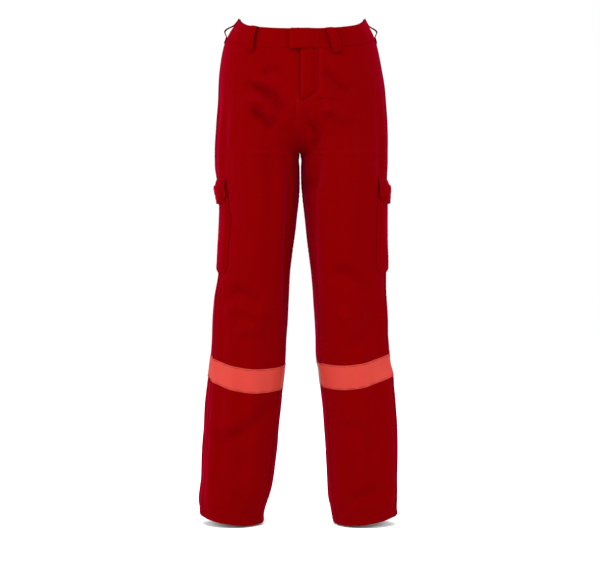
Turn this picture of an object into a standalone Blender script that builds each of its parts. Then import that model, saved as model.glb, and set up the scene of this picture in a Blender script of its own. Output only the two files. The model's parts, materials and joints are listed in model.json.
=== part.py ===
"""Cargo work trousers with a reflective band round each lower leg.

Metres, +Z up. The front faces -Y and the wearer's left is +X. The origin is the
centre of the waist opening, level with the top of the waistband at the sides.
"""

import math

import bmesh
import bpy
from mathutils import Vector

# ---------------------------------------------------------------- driving sizes
# heights, measured down from the top of the waistband at the sides
BAND_HEIGHT = 0.042
FRONT_DIP = 0.0385  # how far the waist dips at the centre front
BACK_DIP = 0.004
SEAT_DROP = 0.220  # where the seat is fullest
RISE = 0.297  # top of the waistband to the crotch
INSEAM = 0.795
KNEE_DROP = 0.341  # crotch to knee

# seat: half-widths, and depths before and behind the side seams
WAIST_HALF_WIDTH = 0.144
BAND_SEAM_HALF_WIDTH = 0.165
SEAT_HALF_WIDTH = 0.186
WAIST_FRONT_DEPTH = 0.108
WAIST_BACK_DEPTH = 0.108
SEAT_FRONT_DEPTH = 0.115
SEAT_BACK_DEPTH = 0.145
SEAT_SQUARENESS = 0.88  # 1 is an ellipse, less is squarer
RISE_CURVE_HEIGHT = 0.125  # how far above the crotch the centre seam starts to turn under

# legs: width and depth across the leg, and the gap between the two legs
THIGH_WIDTH = 0.1875
MID_THIGH_WIDTH = 0.174
KNEE_WIDTH = 0.162
CALF_WIDTH = 0.164
HEM_WIDTH = 0.150
THIGH_DEPTH = 0.220
MID_THIGH_DEPTH = 0.190
KNEE_DEPTH = 0.172
CALF_DEPTH = 0.168
HEM_DEPTH = 0.155
CROTCH_GAP = 0.003
MID_THIGH_GAP = 0.022
KNEE_GAP = 0.059
CALF_GAP = 0.094
HEM_GAP = 0.139
LOWER_LEG_SLOPE_X = 0.12  # rings below the knee rise towards the outside
LOWER_LEG_SLOPE_Y = 0.08  # and towards the back

# cloth and clearances
CLOTH = 0.0012
BAND_CLOTH = 0.0024  # the waistband is folded double
SEAM_GAP = 0.0005  # between two panels that are sewn edge to edge
BAND_SEAM_GAP = 0.0020  # between the waistband and the panels under it
LAY_GAP = 0.0010  # between a piece and the panel that it lies on
FACE_GAP = 0.0004  # between small hard pieces that touch

# where the legs bend: rigid above and below, soft between
HIP_PANEL_DROP = 0.240  # lower edge of the hip panels
THIGH_TOP_DROP = 0.335
KNEE_SOFT_HALF = 0.095  # half-height of the soft stretch at the knee

# fly and waist fastening
FLY_WIDTH = 0.040  # centre front to the J-shaped stitching
FLY_LENGTH = 0.133  # below the waistband
FLY_BULGE = 0.0045  # how far the overlap stands out over the zip
TAB_OVERLAP = 0.030  # past the centre front
TAB_LIFT = 0.0070  # outer face of the tab above the band that it laps over
UNDERLAP = 0.005
ZIP_OFFSET = 0.010  # zip from the edge of the overlap
ZIP_DEPTH = 0.0045  # tape below the outer surface
ZIP_TAPE_WIDTH = 0.013
ZIP_TAPE_THICKNESS = 0.0006
ZIP_TOP_GAP = 0.010
SHIELD_DEPTH = 0.0085
SHIELD_WIDTH = 0.050
TOOTH_PITCH = 0.003
TOOTH_HEIGHT = 0.0012
TOOTH_OVERREACH = 0.0006  # past the middle of the zip
TOOTH_THICKNESS = 0.0016
TOOTH_RAIL = 0.0012
TOOTH_RAIL_OFFSET = 0.0009  # rail from the middle of the zip
SLIDER_WIDTH = 0.0090
SLIDER_LENGTH = 0.0110
SLIDER_PLATE = 0.0009
PULL_LENGTH = 0.0150
PULL_WIDTH = 0.0050
PULL_THICKNESS = 0.0010
BRIDGE_CLEARANCE = 0.0022  # under the bridge that the pull hangs on
BRIDGE_THICKNESS = 0.0008
BRIDGE_LENGTH = 0.0070
BRIDGE_WIDTH = 0.0014
STUD_RADIUS = 0.0055
STUD_POST_RADIUS = 0.0020
STUD_OFFSET = 0.012  # from the centre front, under the tab

# belt loops
LOOP_WIDTH = 0.011
LOOP_LENGTH = 0.052
LOOP_CLOTH = 0.0016
LOOP_LIFT = 0.0085
FRONT_LOOP_RIGHT = 0.105  # from the centre front, along x
FRONT_LOOP_LEFT = 0.067

# pockets
CARGO_TOP = 0.350  # below the waist's top
CARGO_HEIGHT = 0.205
CARGO_WIDTH = 0.155
CARGO_AHEAD = 0.058  # of the side seam
CARGO_DEPTH = 0.007
CARGO_MOUTH_DROP = 0.022  # mouth of the pocket below the top of its flap
CARGO_FLAP_HEIGHT = 0.057
FLAP_MARGIN = 0.004  # a flap is wider than its pocket by this at each side
PATCH_TAPE_WIDTH = 0.090
PATCH_TAPE_HEIGHT = 0.020
PATCH_TAPE_THICKNESS = 0.0014
PATCH_TAPE_GAP = 0.0008
BACK_POCKET_TOP = 0.110
BACK_POCKET_HEIGHT = 0.125
BACK_POCKET_WIDTH = 0.120
BACK_POCKET_FROM_CENTRE = 0.038
BACK_POCKET_DEPTH = 0.003
BACK_MOUTH_DROP = 0.012
BACK_FLAP_HEIGHT = 0.045
POCKET_BAG_DEPTH = 0.150
POCKET_BAG_WIDTH = 0.085
POCKET_BAG_INSET = 0.006
POCKET_BAG_THICKNESS = 0.0024

# reflective bands and hems
TAPE_HEIGHT = 0.050
TAPE_DROP = 0.110  # knee to the upper edge of the band
TAPE_THICKNESS = 0.0008
HEM_HEIGHT = 0.026
HEM_INSET = 0.0010

# mesh steps
HALF_COLUMNS = 8  # cells between the centre (or inseam) and the side seam
STEP = 1e-4  # for slopes of the surface

KNEE = RISE + KNEE_DROP
HEM = RISE + INSEAM
CALF = (KNEE + HEM) / 2
MID_THIGH = RISE + KNEE_DROP * 0.45
TAPE_TOP = KNEE + TAPE_DROP
LEFT = 1
RIGHT = -1
SIDES = {"left": LEFT, "right": RIGHT}

SEAT_HALF_WIDTHS = (
    (0.0, WAIST_HALF_WIDTH),
    (BAND_HEIGHT, BAND_SEAM_HALF_WIDTH),
    (BAND_HEIGHT * 2, (BAND_SEAM_HALF_WIDTH + SEAT_HALF_WIDTH * 0.75) / 1.75),
    (SEAT_DROP, SEAT_HALF_WIDTH),
    (RISE, CROTCH_GAP / 2 + THIGH_WIDTH),
)
SEAT_FRONT_DEPTHS = ((0.0, WAIST_FRONT_DEPTH), (SEAT_DROP, SEAT_FRONT_DEPTH), (RISE, SEAT_FRONT_DEPTH))
SEAT_BACK_DEPTHS = (
    (0.0, WAIST_BACK_DEPTH),
    (SEAT_DROP * 0.8, SEAT_BACK_DEPTH),
    (SEAT_DROP * 1.1, SEAT_BACK_DEPTH),
    (RISE, SEAT_BACK_DEPTH * 0.96),
)
LEG_WIDTHS = (
    (RISE, THIGH_WIDTH),
    (MID_THIGH, MID_THIGH_WIDTH),
    (KNEE, KNEE_WIDTH),
    (CALF, CALF_WIDTH),
    (HEM, HEM_WIDTH),
)
LEG_DEPTHS = (
    (RISE, THIGH_DEPTH),
    (MID_THIGH, MID_THIGH_DEPTH),
    (KNEE, KNEE_DEPTH),
    (CALF, CALF_DEPTH),
    (HEM, HEM_DEPTH),
)
LEG_GAPS = (
    (RISE, CROTCH_GAP),
    (MID_THIGH, MID_THIGH_GAP),
    (KNEE, KNEE_GAP),
    (CALF, CALF_GAP),
    (HEM, HEM_GAP),
)


# ---------------------------------------------------------------- surface of the trousers
def along(stations, drop):
    """Value at a drop below the waist, on a smooth curve through (drop, value) stations."""
    if drop <= stations[0][0]:
        return stations[0][1]
    if drop >= stations[-1][0]:
        return stations[-1][1]
    i = max(k for k in range(len(stations) - 1) if stations[k][0] <= drop)
    slopes = []
    for k in (i, i + 1):
        before = stations[max(k - 1, 0)]
        after = stations[min(k + 1, len(stations) - 1)]
        slopes.append((after[1] - before[1]) / (after[0] - before[0]))
    (x0, y0), (x1, y1) = stations[i], stations[i + 1]
    span = x1 - x0
    t = (drop - x0) / span
    return (
        (2 * t**3 - 3 * t**2 + 1) * y0
        + (t**3 - 2 * t**2 + t) * span * slopes[0]
        + (3 * t**2 - 2 * t**3) * y1
        + (t**3 - t**2) * span * slopes[1]
    )


def smooth(t):
    """0 before 0, 1 after 1, and a smooth step between."""
    t = min(max(t, 0.0), 1.0)
    return t * t * (3 - 2 * t)


def power(value, exponent):
    """Signed power, for a superellipse."""
    return math.copysign(abs(value) ** exponent, value)


def waist_dip(u):
    """How far the waist line dips at u: 0 is the centre front, 0.5 the side seam, 1 the centre back."""
    turn = math.pi * u
    return FRONT_DIP * math.cos(turn) if u < 0.5 else -BACK_DIP * math.cos(turn)


def surface(u, drop):
    """Outer surface of the left half. Above the crotch u runs from the centre front round the
    side seam (0.5) to the centre back (1); below it, from the inseam round the leg and back."""
    down = drop + waist_dip(u) * (1 - smooth((drop - BAND_HEIGHT) / (HIP_PANEL_DROP - BAND_HEIGHT)))
    seat_angle = (2 * u - 1) * math.pi / 2
    depths = SEAT_FRONT_DEPTHS if u < 0.5 else SEAT_BACK_DEPTHS
    seat_x = along(SEAT_HALF_WIDTHS, down) * power(math.cos(seat_angle), SEAT_SQUARENESS)
    seat_y = along(depths, down) * power(math.sin(seat_angle), SEAT_SQUARENESS)

    leg_angle = (2 * u - 1) * math.pi
    half = along(LEG_WIDTHS, down) / 2
    leg_x = along(LEG_GAPS, down) / 2 + half + half * math.cos(leg_angle)
    leg_y = along(LEG_DEPTHS, down) / 2 * math.sin(leg_angle)

    above_crotch = min(max((RISE - down) / RISE_CURVE_HEIGHT, 0.0), 1.0)
    leg_share = 1 - math.sqrt(1 - (1 - above_crotch) ** 2)
    x = seat_x + (leg_x - seat_x) * leg_share
    y = seat_y + (leg_y - seat_y) * leg_share

    low = smooth((drop - KNEE) / (TAPE_DROP + TAPE_HEIGHT))
    tilt = LOWER_LEG_SLOPE_X * half * math.cos(leg_angle) + LOWER_LEG_SLOPE_Y * leg_y
    return Vector((x, y, -down + low * tilt))


def skin(side, u, drop, lift=0.0):
    """A point of the surface, moved out along its normal by lift, on the left or right half."""
    across = surface(u + STEP, drop) - surface(u - STEP, drop)
    down = surface(u, drop + STEP) - surface(u, drop - STEP)
    point = surface(u, drop) + down.cross(across).normalized() * lift
    return Vector((point.x * side, point.y, point.z))


def round_to(drop, start_u, distance):
    """The u that lies a distance round the surface from start_u."""
    steps = 24
    u = start_u
    for _ in range(steps):
        speed = (surface(u + STEP, drop) - surface(u - STEP, drop)).length / (2 * STEP)
        u += distance / steps / speed
    return u


def u_at_x(drop, x):
    """The u on the front half whose point lies at x from the centre plane, or past it."""
    low, high = -0.2, 0.5
    for _ in range(40):
        middle = (low + high) / 2
        if surface(middle, drop).x < x:
            low = middle
        else:
            high = middle
    return (low + high) / 2


def spread(start, end, cells):
    """Evenly spaced values from start to end."""
    return [start + (end - start) * k / cells for k in range(cells + 1)]


# ---------------------------------------------------------------- making objects
def clear_scene():
    for obj in list(bpy.data.objects):
        bpy.data.objects.remove(obj, do_unlink=True)
    for collection in list(bpy.data.collections):
        bpy.data.collections.remove(collection)


def material(name, color, roughness, metallic=0.0):
    made = bpy.data.materials.new(name)
    made.use_nodes = True
    shader = made.node_tree.nodes["Principled BSDF"]
    shader.inputs["Base Color"].default_value = (*color, 1.0)
    shader.inputs["Roughness"].default_value = roughness
    shader.inputs["Metallic"].default_value = metallic
    return made


def add_object(name, mesh, surface_material, collection):
    obj = bpy.data.objects.new(name, mesh)
    mesh.materials.clear()
    mesh.materials.append(surface_material)
    collection.objects.link(obj)
    return obj


def grid_mesh(name, rows, flip):
    """A quad grid over rows of points; flip turns its faces round."""
    shape = bmesh.new()
    verts = [[shape.verts.new(point) for point in row] for row in rows]
    for upper, lower in zip(verts, verts[1:]):
        for k in range(len(upper) - 1):
            corners = (upper[k], lower[k], lower[k + 1], upper[k + 1])
            shape.faces.new(reversed(corners) if flip else corners)
    mesh = bpy.data.meshes.new(name)
    shape.to_mesh(mesh)
    shape.free()
    return mesh


def sheet(name, side, rows, thickness, surface_material):
    """A sheet of cloth whose outer face is the grid of points; its thickness goes inwards."""
    mesh = grid_mesh(name, rows, flip=side == RIGHT)
    obj = add_object(name, mesh, surface_material, trousers)
    solid = obj.modifiers.new("thickness", "SOLIDIFY")
    solid.thickness = thickness
    solid.offset = -1
    solid.use_even_offset = False
    return obj


def tube(name, side, rows, thickness, surface_material):
    """A ring of cloth: the last column of each row meets the first."""
    shape = bmesh.new()
    verts = [[shape.verts.new(point) for point in row] for row in rows]
    for upper, lower in zip(verts, verts[1:]):
        for k in range(len(upper)):
            n = (k + 1) % len(upper)
            corners = (upper[k], lower[k], lower[n], upper[n])
            shape.faces.new(reversed(corners) if side == RIGHT else corners)
    mesh = bpy.data.meshes.new(name)
    shape.to_mesh(mesh)
    shape.free()
    obj = add_object(name, mesh, surface_material, trousers)
    solid = obj.modifiers.new("thickness", "SOLIDIFY")
    solid.thickness = thickness
    solid.offset = -1
    return obj


def box(name, size, centre, surface_material, collection):
    """A block of the given size about a centre."""
    shape = bmesh.new()
    bmesh.ops.create_cube(shape, size=1.0)
    bmesh.ops.scale(shape, vec=size, verts=shape.verts)
    bmesh.ops.translate(shape, vec=centre, verts=shape.verts)
    mesh = bpy.data.meshes.new(name)
    shape.to_mesh(mesh)
    shape.free()
    return add_object(name, mesh, surface_material, collection)


def combine(obj, tool, operation):
    """Joins tool to obj, or cuts it from obj, and keeps the tool as a cutter."""
    tool.hide_render = True
    tool.display_type = "WIRE"
    modifier = obj.modifiers.new(operation.lower(), "BOOLEAN")
    modifier.operation = operation
    modifier.object = tool
    modifier.solver = "EXACT"


def panel(name, side, drops, start, end, surface_material, thickness=CLOTH, lift=0.0, cells=HALF_COLUMNS):
    """A panel on the surface between two edges, each the u of the edge at a drop."""
    rows = [[skin(side, u, drop, lift) for u in spread(start(drop), end(drop), cells)] for drop in drops]
    return sheet(name, side, rows, thickness, surface_material)


def seam(u, shift):
    """A panel's edge at u, half a seam gap towards +u (shift 1) or -u (shift -1) of it."""
    return lambda drop: round_to(drop, u + shift * STEP, shift * SEAM_GAP / 2)


def at_x(x):
    """An edge that stays at x from the centre plane, on the front."""
    return lambda drop: u_at_x(drop, x)


def turned(name, profile, centre, direction, surface_material, segments=20):
    """A round piece about a direction; the profile's points are (radius, distance along it)."""
    shape = bmesh.new()
    verts = [shape.verts.new((radius, 0.0, height)) for radius, height in profile]
    for first, second in zip(verts, verts[1:]):
        shape.edges.new((first, second))
    mesh = bpy.data.meshes.new(name)
    shape.to_mesh(mesh)
    shape.free()
    obj = add_object(name, mesh, surface_material, trousers)
    obj.location = centre
    obj.rotation_mode = "QUATERNION"
    obj.rotation_quaternion = direction.to_track_quat("Z", "Y")
    screw = obj.modifiers.new("turn", "SCREW")
    screw.steps = segments
    screw.render_steps = segments
    screw.use_merge_vertices = True
    screw.merge_threshold = 0.00001
    screw.use_smooth_shade = True
    return obj


# ---------------------------------------------------------------- the pieces
def make_panels():
    """Hip, thigh and shin panels, and the soft stretches between them where the legs bend."""
    knee_top = KNEE - KNEE_SOFT_HALF
    knee_bottom = KNEE + KNEE_SOFT_HALF
    hip_rows = spread(BAND_HEIGHT + BAND_SEAM_GAP, HIP_PANEL_DROP, 6)
    thigh_rows = spread(THIGH_TOP_DROP, knee_top, 5)
    shin_rows = [knee_bottom, TAPE_TOP + TAPE_HEIGHT / 2] + spread(TAPE_TOP + TAPE_HEIGHT, HEM, 5)
    for name, side in SIDES.items():
        front_edge = fly_line(1) if side == LEFT else seam(0.0, 1)
        rows = fly_rows() + spread(FLY_BOTTOM, HIP_PANEL_DROP, 3) if side == LEFT else hip_rows
        panel(name + "_front_hip_panel", side, rows, front_edge, seam(0.5, -1), cloth)
        panel(name + "_back_hip_panel", side, hip_rows, seam(0.5, 1), seam(1.0, -1), cloth)
        make_soft_seat(name + "_soft_seat_section", side)
        for part, rows in (("thigh", thigh_rows), ("shin", shin_rows)):
            panel(name + "_front_" + part + "_panel", side, rows, seam(0.0, 1), seam(0.5, -1), cloth)
            panel(name + "_back_" + part + "_panel", side, rows, seam(0.5, 1), seam(1.0, -1), cloth)
        knee_rows = spread(knee_top + SEAM_GAP, knee_bottom - SEAM_GAP, 5)
        leg_ring(name + "_soft_knee_section", side, knee_rows, 0.0, CLOTH, cloth)


def leg_ring(name, side, drops, lift, thickness, surface_material):
    """A ring of cloth round one leg."""
    around = spread(0.0, 1.0, HALF_COLUMNS * 2)[:-1]
    rows = [[skin(side, u, drop, lift) for u in around] for drop in drops]
    return tube(name, side, rows, thickness, surface_material)


def make_soft_seat(name, side):
    """The cloth between hip and thigh: open at the rise seam, and a ring below the crotch."""
    turns = spread(0.0, math.pi / 2, 4)
    above = RISE - HIP_PANEL_DROP
    rise_rows = [RISE - above * math.cos(turn) for turn in turns]
    rise_rows[0] += SEAM_GAP
    rows = rise_rows + spread(RISE, THIGH_TOP_DROP - SEAM_GAP, 2)[1:]
    return panel(name, side, rows, seam(0.0, 1), seam(1.0, -1), cloth, cells=HALF_COLUMNS * 2)


def fly_x(drop):
    """The J-shaped line of the fly: how far it lies from the centre front."""
    curve_top = FLY_BOTTOM - FLY_WIDTH * 0.9
    t = min(max((drop - curve_top) / (FLY_BOTTOM - curve_top), 0.0), 1.0)
    return FLY_WIDTH * math.sqrt(1 - t * t)


def fly_line(shift):
    """The J-shaped line as a panel edge, half a seam gap on the panel's side (1) or the fly's (-1)."""
    return lambda drop: u_at_x(drop, max(fly_x(drop), 0.0) + shift * SEAM_GAP / 2)


def fly_rows():
    """Drops down the fly, closer together round its curve."""
    curve_top = FLY_BOTTOM - FLY_WIDTH * 0.9
    curve = [curve_top + (FLY_BOTTOM - curve_top) * math.sin(turn) for turn in spread(0.0, 1.25, 4)]
    return spread(BAND_HEIGHT + BAND_SEAM_GAP, curve_top, 3)[:-1] + curve


def fly_lift(share):
    """Height of the overlap over the zip; share is 0 at its free edge and 1 at the J-shaped line."""
    return FLY_BULGE * smooth((share + 0.35) / 0.5) * (1 - smooth((share - 0.35) / 0.65))


def make_fly():
    """The overlap over the zip, and the shield behind the zip."""
    rows = []
    for drop in fly_rows():
        first, last = u_at_x(drop, SEAM_GAP / 2), fly_line(-1)(drop)
        shares = spread(0.0, 1.0, 5)
        depth = fly_x(drop) / FLY_WIDTH
        rows.append([skin(LEFT, first + (last - first) * s, drop, fly_lift(s) * depth) for s in shares])
    sheet("fly_overlap", LEFT, rows, CLOTH, cloth)
    drops = spread(BAND_HEIGHT + LAY_GAP, FLY_BOTTOM, 4)
    panel(
        "fly_shield", LEFT, drops, at_x(ZIP_OFFSET - SHIELD_WIDTH / 2), at_x(ZIP_OFFSET + SHIELD_WIDTH / 2),
        lining, lift=-SHIELD_DEPTH, cells=4,
    )


def make_waistband():
    """The two halves of the band, the tab that laps over the centre front, and its press stud."""
    drops = spread(0.0, BAND_HEIGHT, 3)
    cells = HALF_COLUMNS * 2
    root = at_x(FLY_WIDTH + SEAM_GAP / 2)
    panel("waistband_left", LEFT, drops, root, seam(1.0, -1), cloth, BAND_CLOTH, cells=cells)
    panel("waistband_right", RIGHT, drops, at_x(-UNDERLAP), seam(1.0, -1), cloth, BAND_CLOTH, cells=cells)
    rows = []
    for drop in drops:
        points = []
        for x in spread(-TAB_OVERLAP, FLY_WIDTH - SEAM_GAP / 2, 7):
            lift = TAB_LIFT * (1 - smooth((x - STUD_OFFSET) / (FLY_WIDTH - STUD_OFFSET)))
            points.append(skin(LEFT, u_at_x(drop, x), drop, lift))
        rows.append(points)
    sheet("waist_tab", LEFT, rows, BAND_CLOTH, cloth)

    middle = BAND_HEIGHT / 2
    u = u_at_x(middle, -STUD_OFFSET)
    centre = skin(LEFT, u, middle)
    outward = (skin(LEFT, u, middle, 0.01) - centre).normalized()
    disc_base = LAY_GAP * 0.6
    disc_top = disc_base + 0.0008
    post_top = TAB_LIFT - BAND_CLOTH - LAY_GAP
    stud = ((0.0, post_top), (STUD_POST_RADIUS, post_top), (STUD_POST_RADIUS, disc_top),
            (STUD_RADIUS, disc_top), (STUD_RADIUS, disc_base), (0.0, disc_base))
    turned("press_stud", stud, centre, outward, metal)
    ring_top = TAB_LIFT - BAND_CLOTH - disc_base
    ring_base = disc_top + LAY_GAP
    bore = STUD_POST_RADIUS + disc_base
    socket = ((bore, ring_top), (STUD_RADIUS, ring_top), (STUD_RADIUS, ring_base), (bore, ring_base), (bore, ring_top))
    turned("press_stud_socket", socket, centre, outward, metal)


def make_belt_loops():
    """Strips that stand off the band, sewn above and below it."""
    middle = BAND_HEIGHT / 2
    places = {
        "belt_loop_front_left": (LEFT, u_at_x(middle, FRONT_LOOP_LEFT)),
        "belt_loop_front_right": (RIGHT, u_at_x(middle, FRONT_LOOP_RIGHT)),
        "belt_loop_side_left": (LEFT, 0.5),
        "belt_loop_side_right": (RIGHT, 0.5),
        "belt_loop_back_left": (LEFT, 0.76),
        "belt_loop_back_right": (RIGHT, 0.76),
        "belt_loop_centre_back": (LEFT, 1.0),
    }
    steps = spread(0.0, 1.0, 8)
    for name, (side, u) in places.items():
        rows = []
        for t in steps:
            drop = t * LOOP_LENGTH
            lift = LAY_GAP + LOOP_CLOTH + (LOOP_LIFT - LAY_GAP) * math.sin(math.pi * t) ** 0.7
            edges = [round_to(drop, u, LOOP_WIDTH * k / 2) for k in (-1, 0, 1)]
            rows.append([skin(side, edge, drop, lift) for edge in edges])
        sheet(name, side, rows, LOOP_CLOTH, cloth)


def pocket_rows(side, u, top, height, left, right, depth):
    """Rows of a patch pocket: flat on the panel round three sides, and standing off inside them."""
    across = (0.0, 0.04, 0.10, 0.22, 0.36, 0.50, 0.64, 0.78, 0.90, 0.96, 1.0)
    down = (0.0, 0.25, 0.5, 0.75, 0.90, 0.96, 1.0)
    rows = []
    for t in down:
        drop = top + height * t
        row = []
        for s in across:
            walls = smooth(s / 0.10) * smooth((1 - s) / 0.10) * smooth((1 - t) / 0.10)
            lift = LAY_GAP + CLOTH + depth * walls
            row.append(skin(side, round_to(drop, u, left + (right - left) * s), drop, lift))
        rows.append(row)
    return rows


def flap_rows(side, u, top, height, mouth_drop, left, right, standoff, cells=10):
    """Rows of a pocket flap, sewn along its top and clear of the pocket from its mouth down."""
    rise = mouth_drop * 0.8
    rows = []
    for depth in (0.0, rise / 2, rise, (rise + height) / 2, height):
        drop = top + depth
        lift = LAY_GAP + CLOTH + standoff * smooth(depth / rise)
        rows.append([skin(side, round_to(drop, u, s), drop, lift) for s in spread(left, right, cells)])
    return rows


def make_cargo_pockets():
    """A bellows pocket on the outside of each thigh, its flap, and the hook-and-loop tapes between."""
    front, back = -CARGO_AHEAD, CARGO_WIDTH - CARGO_AHEAD
    mouth = CARGO_TOP + CARGO_MOUTH_DROP
    pocket_face = LAY_GAP + CLOTH + CARGO_DEPTH
    loop_lift = pocket_face + PATCH_TAPE_GAP + PATCH_TAPE_THICKNESS
    hook_lift = loop_lift + PATCH_TAPE_GAP + PATCH_TAPE_THICKNESS
    standoff = hook_lift + PATCH_TAPE_GAP - LAY_GAP
    tape_middle = (front + back) / 2
    tape_drops = (CARGO_TOP + CARGO_FLAP_HEIGHT * 0.5, CARGO_TOP + CARGO_FLAP_HEIGHT * 0.5 + PATCH_TAPE_HEIGHT)
    for name, side in SIDES.items():
        height = CARGO_HEIGHT - CARGO_MOUTH_DROP
        rows = pocket_rows(side, 0.5, mouth, height, front, back, CARGO_DEPTH)
        sheet(name + "_cargo_pocket", side, rows, CLOTH, cloth)
        left, right = front - FLAP_MARGIN, back + FLAP_MARGIN
        rows = flap_rows(side, 0.5, CARGO_TOP, CARGO_FLAP_HEIGHT, CARGO_MOUTH_DROP, left, right, standoff)
        sheet(name + "_cargo_flap", side, rows, CLOTH, cloth)
        for kind, lift in (("loop_tape", loop_lift), ("hook_tape", hook_lift)):
            rows = []
            for drop in tape_drops:
                places = spread(tape_middle - PATCH_TAPE_WIDTH / 2, tape_middle + PATCH_TAPE_WIDTH / 2, 6)
                rows.append([skin(side, round_to(drop, 0.5, s), drop, lift) for s in places])
            sheet(name + "_cargo_" + kind, side, rows, PATCH_TAPE_THICKNESS, tape_cloth)


def make_back_pockets():
    """A patch pocket on each side of the seat, and its flap."""
    inner, outer = -BACK_POCKET_FROM_CENTRE, -BACK_POCKET_FROM_CENTRE - BACK_POCKET_WIDTH
    standoff = BACK_POCKET_DEPTH + CLOTH + LAY_GAP
    for name, side in SIDES.items():
        top = BACK_POCKET_TOP + BACK_MOUTH_DROP
        rows = pocket_rows(side, 1.0, top, BACK_POCKET_HEIGHT - BACK_MOUTH_DROP, outer, inner, BACK_POCKET_DEPTH)
        sheet(name + "_back_pocket", side, rows, CLOTH, cloth)
        left, right = outer - FLAP_MARGIN, inner + FLAP_MARGIN
        rows = flap_rows(
            side, 1.0, BACK_POCKET_TOP, BACK_FLAP_HEIGHT, BACK_MOUTH_DROP, left, right, standoff, cells=8,
        )
        sheet(name + "_back_pocket_flap", side, rows, CLOTH, cloth)


def make_pocket_bags():
    """Flat bags that hang inside the hips from the side seams."""
    top = BAND_HEIGHT + LAY_GAP
    drops = spread(top, top + POCKET_BAG_DEPTH, 5)
    for name, side in SIDES.items():
        rows = []
        for drop in drops:
            places = spread(-POCKET_BAG_WIDTH, 0.0, 5)
            rows.append([skin(side, round_to(drop, 0.5 - STEP, s), drop, -POCKET_BAG_INSET) for s in places])
        sheet(name + "_front_pocket_bag", side, rows, POCKET_BAG_THICKNESS, lining)


def make_bands_and_hems():
    """The reflective band round each lower leg, cut at the seams, and the turned-up hem inside."""
    drops = spread(TAPE_TOP, TAPE_TOP + TAPE_HEIGHT, 2)
    lift = LAY_GAP + TAPE_THICKNESS
    hem_drops = spread(HEM - HEM_HEIGHT, HEM - SEAM_GAP, 2)
    for name, side in SIDES.items():
        edges = {"front": (seam(0.0, 1), seam(0.5, -1)), "back": (seam(0.5, 1), seam(1.0, -1))}
        for place, (start, end) in edges.items():
            title = name + "_" + place + "_reflective_band"
            panel(title, side, drops, start, end, reflective, TAPE_THICKNESS, lift)
        leg_ring(name + "_hem", side, hem_drops, -CLOTH - HEM_INSET, CLOTH, cloth)


def make_zip():
    """Tapes, interlocking teeth, slider, pull and bottom stop, in one upright plane."""
    top_drop = BAND_HEIGHT + SEAM_GAP
    level = (top_drop + FLY_BOTTOM) / 2
    plane_y = surface(u_at_x(level, ZIP_OFFSET), level).y + ZIP_DEPTH
    top_z = surface(u_at_x(top_drop, ZIP_OFFSET), top_drop).z - ZIP_TOP_GAP
    bottom_z = surface(u_at_x(FLY_BOTTOM, ZIP_OFFSET), FLY_BOTTOM).z + ZIP_TOP_GAP
    slider_z = top_z - SLIDER_LENGTH / 2

    teeth_top = slider_z + SLIDER_LENGTH * 0.1
    stop_height = TOOTH_PITCH
    teeth_bottom = bottom_z + stop_height + FACE_GAP
    tape_edge = TOOTH_RAIL_OFFSET + TOOTH_RAIL + FACE_GAP
    for name, side in SIDES.items():
        size = (ZIP_TAPE_WIDTH, ZIP_TAPE_THICKNESS, top_z - bottom_z)
        x = ZIP_OFFSET + side * (tape_edge + ZIP_TAPE_WIDTH / 2)
        box("zip_tape_" + name, size, (x, plane_y, (top_z + bottom_z) / 2), tape_cloth, trousers)
        make_teeth("zip_teeth_" + name, side, plane_y, teeth_top, teeth_bottom)
    stop = (TOOTH_RAIL_OFFSET * 2 + TOOTH_RAIL * 2, TOOTH_THICKNESS, stop_height)
    box("zip_bottom_stop", stop, (ZIP_OFFSET, plane_y, bottom_z + stop_height / 2), metal, trousers)
    make_slider(plane_y, slider_z)


def make_teeth(name, side, plane_y, top_z, bottom_z):
    """One row of teeth on its rail, as an extruded comb."""
    rail_inner = TOOTH_RAIL_OFFSET
    rail_outer = TOOTH_RAIL_OFFSET + TOOTH_RAIL
    offset = 0.0 if side == LEFT else TOOTH_PITCH / 2
    outline = [(rail_outer, top_z), (rail_outer, bottom_z), (rail_inner, bottom_z)]
    z = bottom_z + TOOTH_HEIGHT / 2 + offset + FACE_GAP
    while z + TOOTH_HEIGHT / 2 < top_z:
        low, high = z - TOOTH_HEIGHT / 2, z + TOOTH_HEIGHT / 2
        outline += [(rail_inner, low), (-TOOTH_OVERREACH, low), (-TOOTH_OVERREACH, high), (rail_inner, high)]
        z += TOOTH_PITCH
    outline.append((rail_inner, top_z))
    curve = bpy.data.curves.new(name, "CURVE")
    curve.dimensions = "2D"
    curve.fill_mode = "BOTH"
    curve.extrude = TOOTH_THICKNESS / 2
    spline = curve.splines.new("POLY")
    spline.points.add(len(outline) - 1)
    spline.use_cyclic_u = True
    for point, (x, z) in zip(spline.points, outline):
        point.co = (ZIP_OFFSET + side * x, z, 0.0, 1.0)
    obj = bpy.data.objects.new(name, curve)
    curve.materials.append(metal)
    obj.location = (0.0, plane_y, 0.0)
    obj.rotation_euler = (math.pi / 2, 0.0, 0.0)
    trousers.objects.link(obj)
    return obj


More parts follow.
